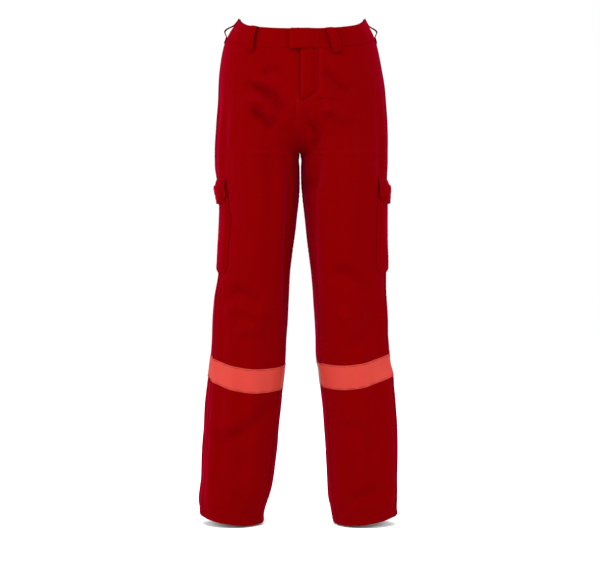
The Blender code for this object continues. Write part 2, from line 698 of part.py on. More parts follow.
def make_slider(plane_y, z):
    """Two plates joined by a wedge, a bridge in front, and the pull that hangs on the bridge."""
    half_gap = TOOTH_THICKNESS / 2 + FACE_GAP
    x = ZIP_OFFSET
    plate = (SLIDER_WIDTH, SLIDER_PLATE, SLIDER_LENGTH)
    plate_y = half_gap + SLIDER_PLATE / 2
    slider = box("zip_slider", plate, (x, plane_y - plate_y, z), metal, trousers)
    back = box("slider_back_plate", plate, (x, plane_y + plate_y, z), metal, cutters)
    wedge_height = SLIDER_LENGTH * 0.3
    wedge_size = (SLIDER_WIDTH * 0.3, half_gap * 2 + SLIDER_PLATE, wedge_height)
    wedge_z = z + SLIDER_LENGTH / 2 - wedge_height / 2 - FACE_GAP
    wedge = box("slider_wedge", wedge_size, (x, plane_y, wedge_z), metal, cutters)
    face_y = plane_y - half_gap - SLIDER_PLATE
    bridge_rise = BRIDGE_CLEARANCE + BRIDGE_THICKNESS
    bridge_size = (BRIDGE_WIDTH, bridge_rise + SLIDER_PLATE / 2, BRIDGE_LENGTH)
    bridge_y = face_y - bridge_rise + bridge_size[1] / 2
    bridge = box("slider_bridge", bridge_size, (x, bridge_y, z), metal, cutters)
    gap_size = (SLIDER_WIDTH, BRIDGE_CLEARANCE, BRIDGE_LENGTH - BRIDGE_THICKNESS * 2)
    gap = box("slider_bridge_gap", gap_size, (x, face_y - BRIDGE_CLEARANCE / 2, z), metal, cutters)
    combine(slider, back, "UNION")
    combine(slider, wedge, "UNION")
    combine(slider, bridge, "UNION")
    combine(slider, gap, "DIFFERENCE")

    pull_y = face_y - BRIDGE_CLEARANCE / 2
    bar = PULL_THICKNESS / 2
    size = (PULL_WIDTH, PULL_THICKNESS, PULL_LENGTH)
    pull = box("zip_pull", size, (x, pull_y, z + bar - PULL_LENGTH / 2), metal, trousers)
    eye_length = BRIDGE_LENGTH / 2 + FACE_GAP
    eye = (BRIDGE_WIDTH + FACE_GAP * 2, PULL_THICKNESS * 3, eye_length)
    hole = box("pull_eye", eye, (x, pull_y, z - bar - eye_length / 2), metal, cutters)
    combine(pull, hole, "DIFFERENCE")


FLY_BOTTOM = BAND_HEIGHT + FLY_LENGTH

clear_scene()
trousers = bpy.data.collections.new("cargo_work_trousers")
cutters = bpy.data.collections.new("cutters")
bpy.context.scene.collection.children.link(trousers)
bpy.context.scene.collection.children.link(cutters)

cloth = material("red_cloth", (0.25, 0.004, 0.004), 0.85)
lining = material("pocket_lining", (0.18, 0.01, 0.01), 0.9)
tape_cloth = material("red_tape", (0.20, 0.006, 0.006), 0.8)
reflective = material("reflective_tape", (0.75, 0.07, 0.06), 0.45)
metal = material("zip_metal", (0.62, 0.60, 0.56), 0.3, 1.0)

make_panels()
make_fly()
make_waistband()
make_belt_loops()
make_cargo_pockets()
make_back_pockets()
make_pocket_bags()
make_bands_and_hems()
make_zip()
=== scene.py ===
"""Looks of a pair of red cargo work trousers with a coral reflective band round each lower leg.

The trousers are one smooth surface per leg, given by u (round the body) and drop (down from the
Cloth simulation and listed folds shape it, and every piece of cloth is cut from it.
"""

import json
import math

import bpy
import numpy as np
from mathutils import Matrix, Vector, noise

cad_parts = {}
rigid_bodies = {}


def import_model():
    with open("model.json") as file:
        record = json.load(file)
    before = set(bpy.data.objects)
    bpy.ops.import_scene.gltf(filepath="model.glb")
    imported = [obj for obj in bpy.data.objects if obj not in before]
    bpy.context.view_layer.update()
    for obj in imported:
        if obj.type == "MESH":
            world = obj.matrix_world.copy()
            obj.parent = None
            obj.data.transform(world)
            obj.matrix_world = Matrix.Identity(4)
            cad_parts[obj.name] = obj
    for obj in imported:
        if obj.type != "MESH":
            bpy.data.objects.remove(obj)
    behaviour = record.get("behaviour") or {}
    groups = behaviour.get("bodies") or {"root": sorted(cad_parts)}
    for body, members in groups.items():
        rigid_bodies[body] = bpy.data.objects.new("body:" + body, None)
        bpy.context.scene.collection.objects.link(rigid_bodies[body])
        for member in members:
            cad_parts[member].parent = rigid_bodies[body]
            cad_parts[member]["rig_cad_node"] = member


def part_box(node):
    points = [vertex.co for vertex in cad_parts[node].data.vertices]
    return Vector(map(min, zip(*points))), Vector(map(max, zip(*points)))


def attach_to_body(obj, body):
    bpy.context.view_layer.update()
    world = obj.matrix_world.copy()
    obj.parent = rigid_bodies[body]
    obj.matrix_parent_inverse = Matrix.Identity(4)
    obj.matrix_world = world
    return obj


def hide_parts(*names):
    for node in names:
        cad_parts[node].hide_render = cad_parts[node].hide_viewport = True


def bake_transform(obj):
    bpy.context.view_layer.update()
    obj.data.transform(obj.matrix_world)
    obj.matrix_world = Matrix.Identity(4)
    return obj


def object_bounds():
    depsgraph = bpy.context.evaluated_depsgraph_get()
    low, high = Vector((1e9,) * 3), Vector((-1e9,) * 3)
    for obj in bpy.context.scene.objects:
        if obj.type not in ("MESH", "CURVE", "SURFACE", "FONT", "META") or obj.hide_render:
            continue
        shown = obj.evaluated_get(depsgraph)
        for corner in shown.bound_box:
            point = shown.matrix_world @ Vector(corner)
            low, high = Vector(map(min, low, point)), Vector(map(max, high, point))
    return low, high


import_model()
cad_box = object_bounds()

# ---------------------------------------------------------------- sizes, in metres
BAND_HEIGHT = 0.042
FRONT_DIP = 0.0385
BACK_DIP = 0.004
RISE = 0.297
KNEE = 0.638
HEM = 1.092
HIP_PANEL_DROP = 0.240
RISE_CURVE_HEIGHT = 0.125
SEAT_SQUARENESS = 0.88
TAPE_TOP = 0.748
TAPE_HEIGHT = 0.050
LOWER_LEG_SLOPE_X = 0.12
LOWER_LEG_SLOPE_Y = 0.08
SEAT_HALF_WIDTHS = ((0.0, 0.144), (0.042, 0.165), (0.084, 0.174), (0.220, 0.186), (RISE, 0.189))
SEAT_FRONT_DEPTHS = ((0.0, 0.108), (0.220, 0.115), (RISE, 0.115))
SEAT_BACK_DEPTHS = ((0.0, 0.108), (0.176, 0.145), (0.242, 0.145), (RISE, 0.139))
LEG_WIDTHS = ((RISE, 0.1875), (0.450, 0.174), (KNEE, 0.162), (0.865, 0.164), (HEM, 0.150))
LEG_DEPTHS = ((RISE, 0.220), (0.450, 0.190), (KNEE, 0.172), (0.865, 0.168), (HEM, 0.155))
LEG_GAPS = ((RISE, 0.003), (0.450, 0.022), (KNEE, 0.059), (0.865, 0.094), (HEM, 0.139))

FLY_WIDTH = 0.040
FLY_BOTTOM = BAND_HEIGHT + 0.133
TAB_OVERLAP = 0.0215
WAIST_RAISE = 0.0045
TAB_LIFT = 0.0055
FLY_EDGE = 0.0010  # free edge of the fly overlap, from the middle
FLY_UNDERLAP = 0.0045  # how far the right front reaches under the overlap, from the middle
SHIELD_DEPTH = 0.0085
SHIELD_WIDTH = 0.050
ZIP_OFFSET = 0.010
LOOP_WIDTH = 0.018
LOOP_LENGTH = 0.052
LOOP_LIFT = 0.0085
CARGO_TOP = 0.350
CARGO_HEIGHT = 0.205
CARGO_WIDTH = 0.155
CARGO_AHEAD = 0.066
CARGO_DEPTH = 0.0045
CARGO_MOUTH_DROP = 0.022
CARGO_FLAP_HEIGHT = 0.052
CARGO_STANDOFF = 0.0095
BACK_POCKET_TOP = 0.110
BACK_POCKET_HEIGHT = 0.125
BACK_POCKET_WIDTH = 0.120
BACK_POCKET_FROM_CENTRE = 0.038
BACK_POCKET_DEPTH = 0.003
BACK_MOUTH_DROP = 0.012
BACK_FLAP_HEIGHT = 0.045
FLAP_MARGIN = 0.004
BAG_DEPTH = 0.150
BAG_WIDTH = 0.085
BAG_INSET = 0.006
HEM_HEIGHT = 0.026

CLOTH = 0.0011
BAND_CLOTH = 0.0024
TAPE_CLOTH = 0.0007
SHIELD_CLOTH = 0.0016
FLAP_CLOTH = 0.0022  # two layers
LOOP_CLOTH = 0.0018
LAYER = CLOTH + 0.0004  # how far a lapped layer of cloth lifts the one over it
POCKET_BASE = 0.0007  # under face of a sewn-on pocket, above the leg's cloth
FLAP_BASE = 0.0008
FLAP_CORNER = 0.014
BAND_ROUND = 0.0022  # radius of the folded edges of doubled cloth
BAND_FACE = 0.00085  # how far the waistband's stitching stands above the leg's cloth
LOOP_FLARE = 0.10  # how much wider a belt loop is at its lower end
SEAM_LAP = 0.009  # width of a felled seam
SEAM_FORWARD = 0.032  # how far the leg seams lie in front of the leg's widest point
SPLIT = 0.560  # each leg's cloth is two pieces, above and below this drop
LOWER_LEG_GIRTH = 0.49
ROUGH_METRES = 0.5  # about how many metres a change of 1 in u is, on a leg
ROWS = 380
COLUMNS = 132
PAD = 33  # columns of the drape grid past each end of a leg, a quarter of it
SIM_ROWS = 130
SIM_COLUMNS = 64
SIM_FRAMES = 28
STITCH_PITCH = 0.0036
STITCH_LENGTH = 0.0027
STITCH_RADIUS = 0.00042
MAP_WIDTH = 0.53  # metres of the weave's map for a change of 1 in u
STITCH_STEP = 0.0005  # how far ahead and behind a stitch its direction is taken
SEAM_ROWS = (0.0016, 0.0078)  # rows of stitching of a felled seam, from its edge
EDGE_ROW = 0.0020  # row of stitching along most other edges
TAPE_ROW = 0.0025
THREAD_PULL = 0.00035  # how far stitching pulls cloth in
DOUBLE_PULL = 0.0003
FLY_END_PLACES = (0.0090, 0.0060, 0.0040, 0.0024, 0.0012)  # close rows of cloth above the fly's end

# camera, lamps (name, place, size, watts) and floor
VIEW_DISTANCE = 3.2
VIEW_HEIGHT = -0.572
LENS = 87.0
SENSOR_WIDTH = 36.0
LAMPS = (
    ("above", (-0.7, -1.9, 2.4), 1.2, 125.0),
    ("left", (-2.7, -1.5, 0.3), 1.8, 82.0),
    ("right", (2.7, -1.5, 0.3), 1.8, 74.0),
    ("rim", (0.4, 2.6, 1.4), 1.6, 80.0),
)
LAMP_AIM = (0.0, 0.0, -0.55)
FLOOR_REACH = 14.0
FLOOR_GAP = 0.004
WHITE = (1.0, 1.0, 1.0, 1.0)

# how much longer the cloth is cut than it hangs: everywhere, and more round some drops
SLACK = 0.020
EXTRA_SLACK = ((0.24, 0.045), (0.63, 0.075), (0.98, 0.065))
SLACK_REACH = 0.09
CLOTH_SETTINGS = {
    "quality": 6,
    "mass": 0.12,
    "tension_stiffness": 22,
    "compression_stiffness": 22,
    "shear_stiffness": 9,
    "bending_stiffness": 0.55,
    "tension_damping": 8,
    "compression_damping": 8,
    "air_damping": 2,
}

SIDES = {"left": 1, "right": -1}
PANEL_NODES = {
    ("front", "upper"): ("front_hip_panel", "front_thigh_panel"),
    ("front", "lower"): ("front_shin_panel",),
    ("back", "upper"): ("back_hip_panel", "back_thigh_panel", "soft_seat_section"),
    ("back", "lower"): ("back_shin_panel", "soft_knee_section"),
}
METAL_NODES = (
    "zip_teeth_left", "zip_teeth_right", "zip_slider", "zip_pull", "zip_bottom_stop",
    "press_stud", "press_stud_socket",
)


# ---------------------------------------------------------------- camera, light and floor
def set_camera():
    """The photo's camera: straight ahead, about level with the middle of the trousers."""
    lens = bpy.data.cameras.new("camera")
    lens.lens = LENS
    lens.sensor_width = SENSOR_WIDTH
    lens.dof.use_dof = False
    camera = bpy.data.objects.new("camera", lens)
    camera.location = (0.0, -VIEW_DISTANCE, VIEW_HEIGHT)
    camera.rotation_euler = (math.pi / 2, 0.0, 0.0)
    bpy.context.scene.collection.objects.link(camera)
    bpy.context.scene.camera = camera


def set_light():
    """Soft light from all round, with lamps above, at both sides and behind."""
    world = bpy.data.worlds.new("studio")
    world.use_nodes = True
    world.node_tree.nodes["Background"].inputs["Color"].default_value = WHITE
    world.node_tree.nodes["Background"].inputs["Strength"].default_value = 1.0
    bpy.context.scene.world = world
    bpy.context.scene.view_settings.view_transform = "Standard"
    for name, place, size, power in LAMPS:
        lamp = bpy.data.lights.new(name, "AREA")
        lamp.size = size
        lamp.energy = power
        obj = bpy.data.objects.new(name, lamp)
        obj.location = place
        obj.rotation_euler = (Vector(LAMP_AIM) - Vector(place)).to_track_quat("-Z", "Y").to_euler()
        bpy.context.scene.collection.objects.link(obj)


def set_floor():
    """A white floor just below the hems."""
    mesh = bpy.data.meshes.new("floor")
    level = cad_box[0].z - FLOOR_GAP
    corners = [(x * FLOOR_REACH, y * FLOOR_REACH, level) for x, y in ((-1, -1), (1, -1), (1, 1), (-1, 1))]
    mesh.from_pydata(corners, [], [(0, 1, 2, 3)])
    floor = bpy.data.objects.new("floor", mesh)
    bpy.context.scene.collection.objects.link(floor)
    paint = bpy.data.materials.new("pale_floor")
    paint.use_nodes = True
    shader = paint.node_tree.nodes["Principled BSDF"]
    shader.inputs["Base Color"].default_value = WHITE
    shader.inputs["Roughness"].default_value = 1.0
    shader.inputs["Specular IOR Level"].default_value = 0.0
    mesh.materials.append(paint)


set_camera()
set_light()
set_floor()


# ---------------------------------------------------------------- the surface
def along(stations, drop):
    """Values at drops, on a smooth curve through (drop, value) stations."""
    xs = np.array([s[0] for s in stations])
    ys = np.array([s[1] for s in stations])
    drop = np.clip(drop, xs[0], xs[-1])
    before = np.maximum(np.arange(len(xs)) - 1, 0)
    after = np.minimum(np.arange(len(xs)) + 1, len(xs) - 1)
    slopes = (ys[after] - ys[before]) / (xs[after] - xs[before])
    i = np.clip(np.searchsorted(xs, drop, side="right") - 1, 0, len(xs) - 2)
    span = xs[i + 1] - xs[i]
    t = (drop - xs[i]) / span
    return (
        (2 * t**3 - 3 * t**2 + 1) * ys[i]
        + (t**3 - 2 * t**2 + t) * span * slopes[i]
        + (3 * t**2 - 2 * t**3) * ys[i + 1]
        + (t**3 - t**2) * span * slopes[i + 1]
    )


def smooth(t):
    t = np.clip(t, 0.0, 1.0)
    return t * t * (3 - 2 * t)


def bell(x, width):
    """A smooth bump, 1 at x = 0 and nearly 0 two widths away."""
    return np.exp(-((x / width) ** 2))


def rounding(past, corner):
    """How far a rounded corner draws an edge in, at a distance past the start of its curve."""
    return corner - np.sqrt(np.maximum(corner**2 - np.maximum(past, 0.0) ** 2, 0.0))


def spread(*values):
    """Values and arrays as arrays of one shape."""
    return np.broadcast_arrays(*(np.asarray(value, float) for value in values))


def surface(u, drop):
    """Points of the left half's surface. Above the crotch u runs from the centre front (0) round
    the side seam (0.5) to the centre back (1); below it, from the inseam round the leg."""
    u, drop = spread(u, drop)
    turn = np.pi * u
    dip = np.where(u < 0.5, FRONT_DIP, -BACK_DIP) * np.cos(turn)
    down = drop + dip * (1 - smooth((drop - BAND_HEIGHT) / (HIP_PANEL_DROP - BAND_HEIGHT)))
    across = np.cos(turn - np.pi / 2)
    ahead = np.sin(turn - np.pi / 2)
    depth = np.where(u < 0.5, along(SEAT_FRONT_DEPTHS, down), along(SEAT_BACK_DEPTHS, down))
    seat_x = along(SEAT_HALF_WIDTHS, down) * np.sign(across) * np.abs(across) ** SEAT_SQUARENESS
    seat_y = depth * np.sign(ahead) * np.abs(ahead) ** SEAT_SQUARENESS
    leg_turn = (2 * u - 1) * np.pi
    half = along(LEG_WIDTHS, down) / 2
    leg_x = along(LEG_GAPS, down) / 2 + half + half * np.cos(leg_turn)
    leg_y = along(LEG_DEPTHS, down) / 2 * np.sin(leg_turn)
    above_crotch = np.clip((RISE - down) / RISE_CURVE_HEIGHT, 0.0, 1.0)
    share = 1 - np.sqrt(1 - (1 - above_crotch) ** 2)
    low = smooth((drop - KNEE) / (TAPE_TOP - KNEE + TAPE_HEIGHT))
    tilt = LOWER_LEG_SLOPE_X * half * np.cos(leg_turn) + LOWER_LEG_SLOPE_Y * leg_y
    z = low * tilt - down + WAIST_RAISE * (1 - smooth(drop / 0.12))
    return np.stack([seat_x + (leg_x - seat_x) * share, seat_y + (leg_y - seat_y) * share, z], -1)


def normals_of(points):
    """Outward unit normals of a grid of points laid out as rows down and columns round."""
    down = np.gradient(points, axis=0)
    across = np.gradient(points, axis=1)
    normal = np.cross(down, across)
    return normal / np.maximum(np.linalg.norm(normal, axis=-1, keepdims=True), 1e-12)


def cubic_weights(where, count):
    """The four neighbours of each fractional place in a row of values, and their shares."""
    base = np.clip(np.floor(where).astype(int), 0, count - 2)
    t = where - base
    index = np.clip(base[..., None] + np.array([-1, 0, 1, 2]), 0, count - 1)
    cubic = np.stack([
        -0.5 * t**3 + t**2 - 0.5 * t,
        1.5 * t**3 - 2.5 * t**2 + 1,
        -1.5 * t**3 + 2 * t**2 + 0.5 * t,
        0.5 * t**3 - 0.5 * t**2,
    ], -1)
    return index, cubic


def resample(grid, rows, columns):
    """A grid of values read at fractional rows and columns, on smooth curves."""
    ri, rw = cubic_weights(rows, grid.shape[0])
    ci, cw = cubic_weights(columns, grid.shape[1])
    out = 0.0
    for a in range(4):
        for b in range(4):
            out = out + grid[ri[..., a], ci[..., b]] * (rw[..., a] * cw[..., b])[..., None]
    return out


# ---------------------------------------------------------------- draping
def drape_mesh(points):
    """One mesh of both legs, sewn at the centre seams and inseams, and where each grid point went."""
    rows, columns = points.shape[:2]
    drops = np.linspace(0, HEM, rows)
    index, verts, place = {}, [], {}
    for name, side in SIDES.items():
        for r in range(rows):
            above = drops[r] < RISE
            for c in range(columns):
                edge = c in (0, columns - 1)
                if edge and above:
                    key = ("centre", r, c)
                elif edge:
                    key = (name, r, 0)
                else:
                    key = (name, r, c)
                if key not in index:
                    index[key] = len(verts)
                    x, y, z = points[r, c]
                    verts.append((0.0 if edge and above else x * side, y, z))
                place[name, r, c] = index[key]
    faces = []
    for name, side in SIDES.items():
        for r in range(rows - 1):
            for c in range(columns - 1):
                corners = ((r, c), (r + 1, c), (r + 1, c + 1), (r, c + 1))
                quad = [place[name, *corner] for corner in corners]
                if len(set(quad)) == 4:
                    faces.append(quad if side == 1 else quad[::-1])
    return verts, faces, place


def sim_object(title, points):
    """Both legs' points as one object, its vertices, and where each grid point went."""
    verts, faces, place = drape_mesh(points)
    mesh = bpy.data.meshes.new(title)
    mesh.from_pydata(verts, [], faces)
    obj = bpy.data.objects.new(title, mesh)
    bpy.context.scene.collection.objects.link(obj)
    return obj, verts, place


def cut_longer(cloth, verts):
    """A shape of the cloth as cut: longer than it hangs, so that it falls into folds."""
    cloth.shape_key_add(name="Basis")
    longer = cloth.shape_key_add(name="cut")
    drops = np.linspace(0, HEM, 200)
    slack = SLACK
    for centre, share in EXTRA_SLACK:
        slack = slack + share * bell(drops - centre, SLACK_REACH)
    extra = np.cumsum(slack) * (drops[1] - drops[0])
    for k, (x, y, z) in enumerate(verts):
        longer.data[k].co = (x, y, z - np.interp(-z, drops, extra))
    return longer


def pin_cloth(cloth, place, drops):
    """Holds the cloth at the waistband, and more loosely at the hem."""
    pins = cloth.vertex_groups.new(name="pins")
    for (name, r, c), k in place.items():
        held = 1 - smooth((drops[r] - BAND_HEIGHT) / 0.02)
        hem = smooth((drops[r] - HEM + 0.012) / 0.012)
        pins.add([k], float(min(max(held, hem * 0.6), 1.0)), "REPLACE")


def simulate():
    """Hangs the trousers, cut a little long, over a slim form, and returns how far each point of a
    coarse grid moved, for each leg."""
    drops = np.linspace(0, HEM, SIM_ROWS)
    us = np.linspace(0, 1, SIM_COLUMNS + 1)
    base = surface(us[None, :], drops[:, None])
    cloth, verts, place = sim_object("drape", base)
    longer = cut_longer(cloth, verts)
    inset = 0.004 + 0.012 * smooth((drops - 0.10) / 0.25)
    form, _, _ = sim_object("form", base - normals_of(base) * inset[:, None, None])
    form.modifiers.new("hold", "COLLISION")
    form.collision.thickness_outer = 0.002
    form.collision.cloth_friction = 12
    pin_cloth(cloth, place, drops)
    modifier = cloth.modifiers.new("cloth", "CLOTH")
    for setting, value in CLOTH_SETTINGS.items():
        setattr(modifier.settings, setting, value)
    modifier.settings.vertex_group_mass = "pins"
    modifier.settings.rest_shape_key = longer
    modifier.collision_settings.distance_min = 0.002
    modifier.collision_settings.collision_quality = 3
    modifier.collision_settings.use_self_collision = False
    modifier.point_cache.frame_start = 1
    modifier.point_cache.frame_end = SIM_FRAMES
    for step in range(1, SIM_FRAMES + 1):
        bpy.context.scene.frame_set(step)
    hung = cloth.evaluated_get(bpy.context.evaluated_depsgraph_get())
    moved = np.array([v.co for v in hung.to_mesh().vertices]) - np.array(verts)
    shift = {}
    for name in SIDES:
        where = [[place[name, r, c] for c in range(SIM_COLUMNS + 1)] for r in range(SIM_ROWS)]
        shift[name] = moved[np.array(where)]
    for obj in (cloth, form):
        data = obj.data
        bpy.data.objects.remove(obj, do_unlink=True)
        bpy.data.meshes.remove(data)
    bpy.context.scene.frame_set(1)
    return shift


# ---------------------------------------------------------------- folds
# ridges and valleys seen from straight ahead, on the plane through the middle of the object:
# (x, z) at each end, height (below 0 for a valley), half-width
FOLDS = {
    "right": (
        ((-0.118, -0.140), (-0.037, -0.207), -0.0045, 0.011),
        ((-0.108, -0.197), (-0.062, -0.240), -0.0040, 0.010),
        ((-0.084, -0.113), (-0.040, -0.118), -0.0025, 0.012),
        ((-0.104, -0.130), (-0.050, -0.156), 0.0025, 0.009),
        ((-0.108, -0.165), (-0.060, -0.220), 0.0030, 0.009),
        ((-0.113, -0.174), (-0.033, -0.233), 0.0020, 0.010),
        ((-0.160, -0.598), (-0.090, -0.632), -0.0050, 0.016),
        ((-0.164, -0.634), (-0.075, -0.660), 0.0035, 0.012),
        ((-0.140, -0.686), (-0.080, -0.686), 0.0030, 0.012),
        ((-0.062, -0.838), (-0.170, -0.926), -0.0038, 0.016),
        ((-0.206, -0.902), (-0.140, -0.902), 0.0030, 0.014),
        ((-0.190, -0.925), (-0.130, -1.005), -0.0030, 0.020),
        ((-0.180, -0.430), (-0.110, -0.500), -0.0025, 0.018),
    ),
    "left": (
        ((0.030, -0.110), (0.085, -0.148), -0.0040, 0.010),
        ((0.081, -0.147), (0.112, -0.162), -0.0030, 0.010),
        ((0.022, -0.143), (0.066, -0.198), 0.0035, 0.009),
        ((0.060, -0.192), (0.112, -0.221), 0.0025, 0.010),
        ((0.048, -0.194), (0.092, -0.224), 0.0020, 0.008),
        ((0.024, -0.222), (0.040, -0.275), -0.0040, 0.009),
        ((0.036, -0.270), (0.018, -0.380), -0.0045, 0.014),
        ((0.070, -0.556), (0.156, -0.602), -0.0050, 0.016),
        ((0.155, -0.620), (0.126, -0.722), -0.0045, 0.014),
        ((0.175, -0.480), (0.176, -0.840), 0.0030, 0.012),
        ((0.108, -0.886), (0.162, -0.962), -0.0036, 0.016),
        ((0.162, -1.026), (0.108, -1.062), -0.0032, 0.013),
        ((0.080, -0.640), (0.120, -0.690), 0.0030, 0.012),
    ),
}
FOLD_SOFTNESS = 1.15
HIP_FOLD_SHARE = 2.4
LEG_FOLD_SHARE = 2.0
# larger soft shapes that hang into the cloth: (feature size, height) of each layer of it
SOFT_SHAPES = ((0.16, 0.0050), (0.075, 0.0030), (0.034, 0.0006))
PUCKER_PITCH = 0.011
PUCKER_HEIGHT = 0.0005
PUCKER_REACH = 0.013

# how far each leg's outline hangs from the even one: (drop, metres outwards) at its outer side, then inner
OUTLINES = {
    "right": (
        ((0.0, -0.0125), (0.03, -0.006), (0.09, -0.002), (0.18, -0.005), (0.29, -0.0045),
         (0.352, -0.007), (0.395, -0.013), (0.42, -0.0135), (0.51, -0.0095), (0.56, -0.006),
         (0.62, 0.0), (0.73, -0.002), (0.94, -0.002), (1.01, 0.002), (1.06, 0.007), (HEM, 0.002)),
        ((RISE, 0.0), (0.42, -0.002), (0.51, 0.0), (0.62, -0.0045), (0.73, -0.0065), (0.80, -0.002),
         (0.86, -0.001), (0.93, -0.0035), (1.01, 0.0), (1.06, 0.009), (HEM, 0.011)),
    ),
    "left": (
        ((0.0, -0.004), (0.03, -0.002), (0.09, -0.001), (0.18, 0.002), (0.33, 0.003), (0.42, 0.002),
         (0.51, 0.001), (0.62, 0.004), (0.73, -0.002), (0.76, -0.005), (0.80, -0.002), (0.84, 0.0),
         (1.01, -0.002), (1.06, -0.004), (HEM, -0.006)),
        ((RISE, 0.0), (0.51, 0.002), (0.62, 0.002), (0.73, 0.001), (0.76, 0.006), (0.84, 0.004),
         (0.93, 0.002), (1.01, -0.002), (1.06, -0.001), (HEM, 0.005)),
    ),
}
# how much lower than its ring the band hangs: at its outer side, front and inner side
BAND_SAG = {"right": (-0.005, 0.008, -0.002), "left": (-0.013, 0.0, -0.007)}


def outline_shift(name, u, drop):
    """Sideways shift of the cloth that gives each leg its own outline."""
    outer, inner = OUTLINES[name]
    share = (1 - np.cos(2 * np.pi * u)) / 2
    inner_shift = along(inner, drop) * smooth((drop - RISE) / 0.03)
    return along(outer, drop) * share + inner_shift * (1 - share)


def fold_height(side_name, points):
    """How far the folds lift the cloth at these points; they are laid out as seen from straight ahead."""
    nearer = VIEW_DISTANCE / (VIEW_DISTANCE + points[..., 1])
    x = points[..., 0] * nearer
    z = VIEW_HEIGHT + (points[..., 2] - VIEW_HEIGHT) * nearer
    total = np.zeros(x.shape)
    for (x0, z0), (x1, z1), height, width in FOLDS[side_name]:
        length = math.hypot(x1 - x0, z1 - z0)
        dx, dz = (x1 - x0) / length, (z1 - z0) / length
        t = (x - x0) * dx + (z - z0) * dz
        off = -(x - x0) * dz + (z - z0) * dx
        bow = 0.12 * length * (1 - (2 * np.clip(t / length, 0, 1) - 1) ** 2)
        ends = smooth(t / (0.35 * length) + 0.4) * smooth((length - t) / (0.35 * length) + 0.4)
        total += height * bell(off - bow, width * FOLD_SOFTNESS) * ends
    return total


def soft_height(points):
    """Soft irregular shapes, longer down the cloth than across it."""
    flat = points.reshape(-1, 3)
    total = np.zeros(len(flat))
    for size, height in SOFT_SHAPES:
        for k, (x, y, z) in enumerate(flat):
            lean = 0.45 * noise.noise(Vector((x * 5, y * 5, z * 3)))
            total[k] += height * noise.noise(Vector((x / size, y / size, z / size * 0.7 + x / size * lean)))
    return total.reshape(points.shape[:-1])


def leg_seams(drop):
    """How far round the leg its two seams have moved towards the front, in metres."""
    return SEAM_FORWARD * smooth((drop - CARGO_TOP) / (KNEE - CARGO_TOP))


def rough_girth(drop):
    """Roughly how far it is round the smooth surface, a little less than the true distance."""
    return 2 * np.linalg.norm(surface(0.25, drop) - surface(0.75, drop), axis=-1)


def pucker_height(u, drop):
    """The little ripples along the sewn seams of each leg."""
    total = np.zeros(u.shape)
    girth = rough_girth(drop) * 1.05
    for start, away in ((0.0, 1), (0.5, -1), (1.0, 1)):
        near = bell(np.abs((u - start) * girth - away * leg_seams(drop)), PUCKER_REACH)
        wander = 0.8 * np.sin(drop * 37.0 + start * 5) + 0.5 * np.sin(drop * 91.0 + start * 9)
        strength = 0.55 + 0.45 * np.sin(drop * 53 + start)
        total += near * np.sin(drop / PUCKER_PITCH * 2 * np.pi + wander * 2) * strength
    return total * PUCKER_HEIGHT * smooth((drop - 0.30) / 0.08) * smooth((HEM - drop) / 0.03)


def local_mean(field, down_reach, across_reach):
    """A field averaged over a reach in metres down the cloth, and a share of the way round it."""
    reach = int(down_reach * ROWS / HEM)
    reach_across = int(COLUMNS * across_reach)
    rows = bell(np.linspace(-2, 2, 2 * reach + 1), 1.0)
    columns = bell(np.linspace(-2, 2, 2 * reach_across + 1), 1.0)
    wide = np.pad(field, ((reach, reach), (reach_across, reach_across), (0, 0)), mode="edge")
    down = sum(w * wide[k:k + field.shape[0]] for k, w in enumerate(rows)) / rows.sum()
    return sum(w * down[:, k:k + field.shape[1]] for k, w in enumerate(columns)) / columns.sum()


def patch_share(u, drop):
    """Share by which a place lies under the cargo pocket, where the cloth hangs flatter."""
    across = smooth((0.20 - np.abs(u - 0.5)) / 0.06)
    below_top = smooth((drop - CARGO_TOP + 0.03) / 0.03)
    return across * below_top * smooth((CARGO_TOP + CARGO_HEIGHT + 0.03 - drop) / 0.03)


def calm_share(name, u, drop, base):
    """Share of its folds that the cloth keeps: few at the fly, all elsewhere."""
    above_fly_end = (1 - smooth((drop - FLY_BOTTOM) / 0.02)) * (u < 0.5)
    fly_reach = FLY_WIDTH if name == "left" else 0.010
    return 1 - 0.9 * above_fly_end * (1 - smooth((base[..., 0] - fly_reach) / 0.022))


def hang_leg(name, u, drop, simulated):
    """How far one leg's cloth hangs from the smooth surface."""
    base = surface(u, drop)
    mirror = np.array([SIDES[name], 1.0, 1.0])
    flatter = 1 - 0.5 * patch_share(u, drop)
    shift = np.zeros(base.shape)
    if simulated is not None:
        moved = resample(simulated[name], drop / HEM * (SIM_ROWS - 1), u * SIM_COLUMNS) * mirror
        shift = local_mean(moved, 0.022, 0.028) - local_mean(moved, 0.110, 0.14)
    shift *= (flatter * (1 - 0.45 * smooth((drop - KNEE) / 0.12)))[..., None]

    outline = outline_shift(name, u, drop)
    hung = base + shift
    hung[..., 0] += outline
    normal = normals_of(hung)
    facing = smooth((-normal[..., 1] + 0.05) / 0.45)
    fold_share = HIP_FOLD_SHARE + (LEG_FOLD_SHARE - HIP_FOLD_SHARE) * smooth((drop - RISE) / 0.2)
    height = fold_share * fold_height(name, hung * mirror) * facing + soft_height(hung * mirror) * flatter
    calm = calm_share(name, u, drop, base)
    height = height * calm + pucker_height(u, drop)
    free = smooth((drop - BAND_HEIGHT) / 0.05)
    shift = (shift * calm[..., None] + normal * height[..., None]) * free[..., None]
    shift[..., 0] += outline
    for column in (0, -1):
        shift[drop[:, 0] < RISE, column, 0] = 0.0
    keep_apart = np.where(drop > RISE, 0.0010, 0.0)
    shift[..., 0] = np.maximum(base[..., 0] + shift[..., 0], keep_apart) - base[..., 0]
    return shift


